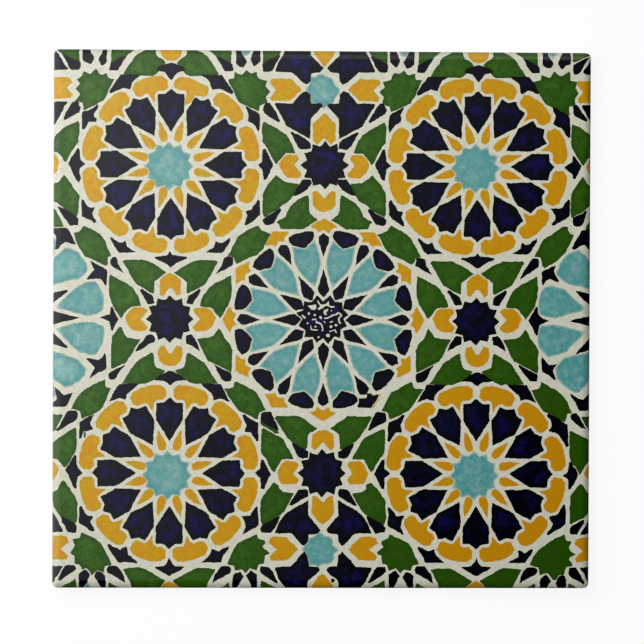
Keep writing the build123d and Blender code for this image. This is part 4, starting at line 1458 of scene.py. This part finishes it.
# Cards that show in the rolled edges' gloss, upright or lying. The left one also lights the tile
SIDE_CARD_BRIGHTNESS = 1.4
LIGHTING_CARD = "left_card"
EDGE_CARDS = [
    (LIGHTING_CARD, (-0.55, 0.05, 0.49), (0.92, 0.3), (0.0, 90.0, 0.0), SIDE_CARD_BRIGHTNESS),
    ("right_card", (0.60, -0.05, 0.45), (0.90, 1.3), (0.0, -90.0, 0.0), 0.0),
    ("near_card", (0.0, -0.60, 0.45), (1.2, 0.90), (-90.0, 0.0, 0.0), 0.0),
    ("far_card", (0.05, 0.62, 0.13), (1.1, 0.26), (90.0, 0.0, 0.0), 0.45),
    ("right_low_card", (0.175, 0.0, 0.0002), (0.24, 0.5), (0.0, 0.0, 0.0), 0.0),
    ("near_low_card", (0.0, -0.175, 0.0002), (0.108, 0.24), (0.0, 0.0, 0.0), 0.0),
    ("far_low_card", (0.0, 0.175, 0.0002), (0.108, 0.24), (0.0, 0.0, 0.0), 0.28),
]


def card_material():
    """Brightness grows towards one side, from black to the card's full strength."""
    material, nodes, links = bare_material("overhead_card")
    along = nodes.new("ShaderNodeVectorMath")
    along.operation = "DOT_PRODUCT"
    along.inputs[1].default_value = (math.cos(CARD_AZIMUTH), math.sin(CARD_AZIMUTH), 0.0)
    links.new(nodes.new("ShaderNodeNewGeometry").outputs["Position"], along.inputs[0])
    ramp = nodes.new("ShaderNodeMapRange")
    ramp.inputs["From Min"].default_value = CARD_DARK_END
    ramp.inputs["From Max"].default_value = CARD_BRIGHT_END
    links.new(along.outputs["Value"], ramp.inputs["Value"])
    curve = nodes.new("ShaderNodeMath")
    curve.operation = "POWER"
    curve.inputs[1].default_value = CARD_CURVE
    links.new(ramp.outputs["Result"], curve.inputs[0])
    strength = nodes.new("ShaderNodeMath")
    strength.operation = "MULTIPLY"
    strength.inputs[1].default_value = CARD_BRIGHTNESS
    links.new(curve.outputs[0], strength.inputs[0])
    glow = nodes.new("ShaderNodeEmission")
    links.new(strength.outputs[0], glow.inputs["Strength"])
    links.new(glow.outputs[0], nodes.new("ShaderNodeOutputMaterial").inputs["Surface"])
    return material


def even_material(name, brightness):
    """The same brightness all over a card, or black."""
    material, nodes, links = bare_material(name)
    surface = nodes.new("ShaderNodeEmission")
    surface.inputs["Strength"].default_value = brightness
    links.new(surface.outputs[0], nodes.new("ShaderNodeOutputMaterial").inputs["Surface"])
    return material


card = plane("overhead_card", CARD_SIZE, CARD_SIZE, (*CARD_PLACE, CARD_HEIGHT), (180.0, 0.0, 0.0))
card.data.materials.append(card_material())
for name, place, (width, depth), turn, brightness in EDGE_CARDS:
    edge_card = plane(name, width, depth, place, turn)
    edge_card.data.materials.append(even_material(name, brightness))
    edge_card.visible_camera = False
    edge_card.visible_diffuse = name == LIGHTING_CARD
    edge_card.visible_shadow = name == LIGHTING_CARD

# The key lamp, at the upper left
LAMP_PLACE = (-0.12, 0.085, 0.30)
LAMP_SIZE = 0.25
LAMP_WATTS = 0.9


def area_lamp(name, place, size, watts):
    light = bpy.data.lights.new(name, "AREA")
    light.shape = "DISK"
    light.size = size
    light.energy = watts
    lamp = bpy.data.objects.new(name, light)
    lamp.location = place
    lamp.rotation_euler = (-Vector(place)).to_track_quat("-Z", "Y").to_euler()
    lamp.visible_camera = False
    lamp.visible_glossy = False
    bpy.context.scene.collection.objects.link(lamp)


area_lamp("key_lamp", LAMP_PLACE, LAMP_SIZE, LAMP_WATTS)
bpy.context.scene.view_settings.view_transform = "Standard"
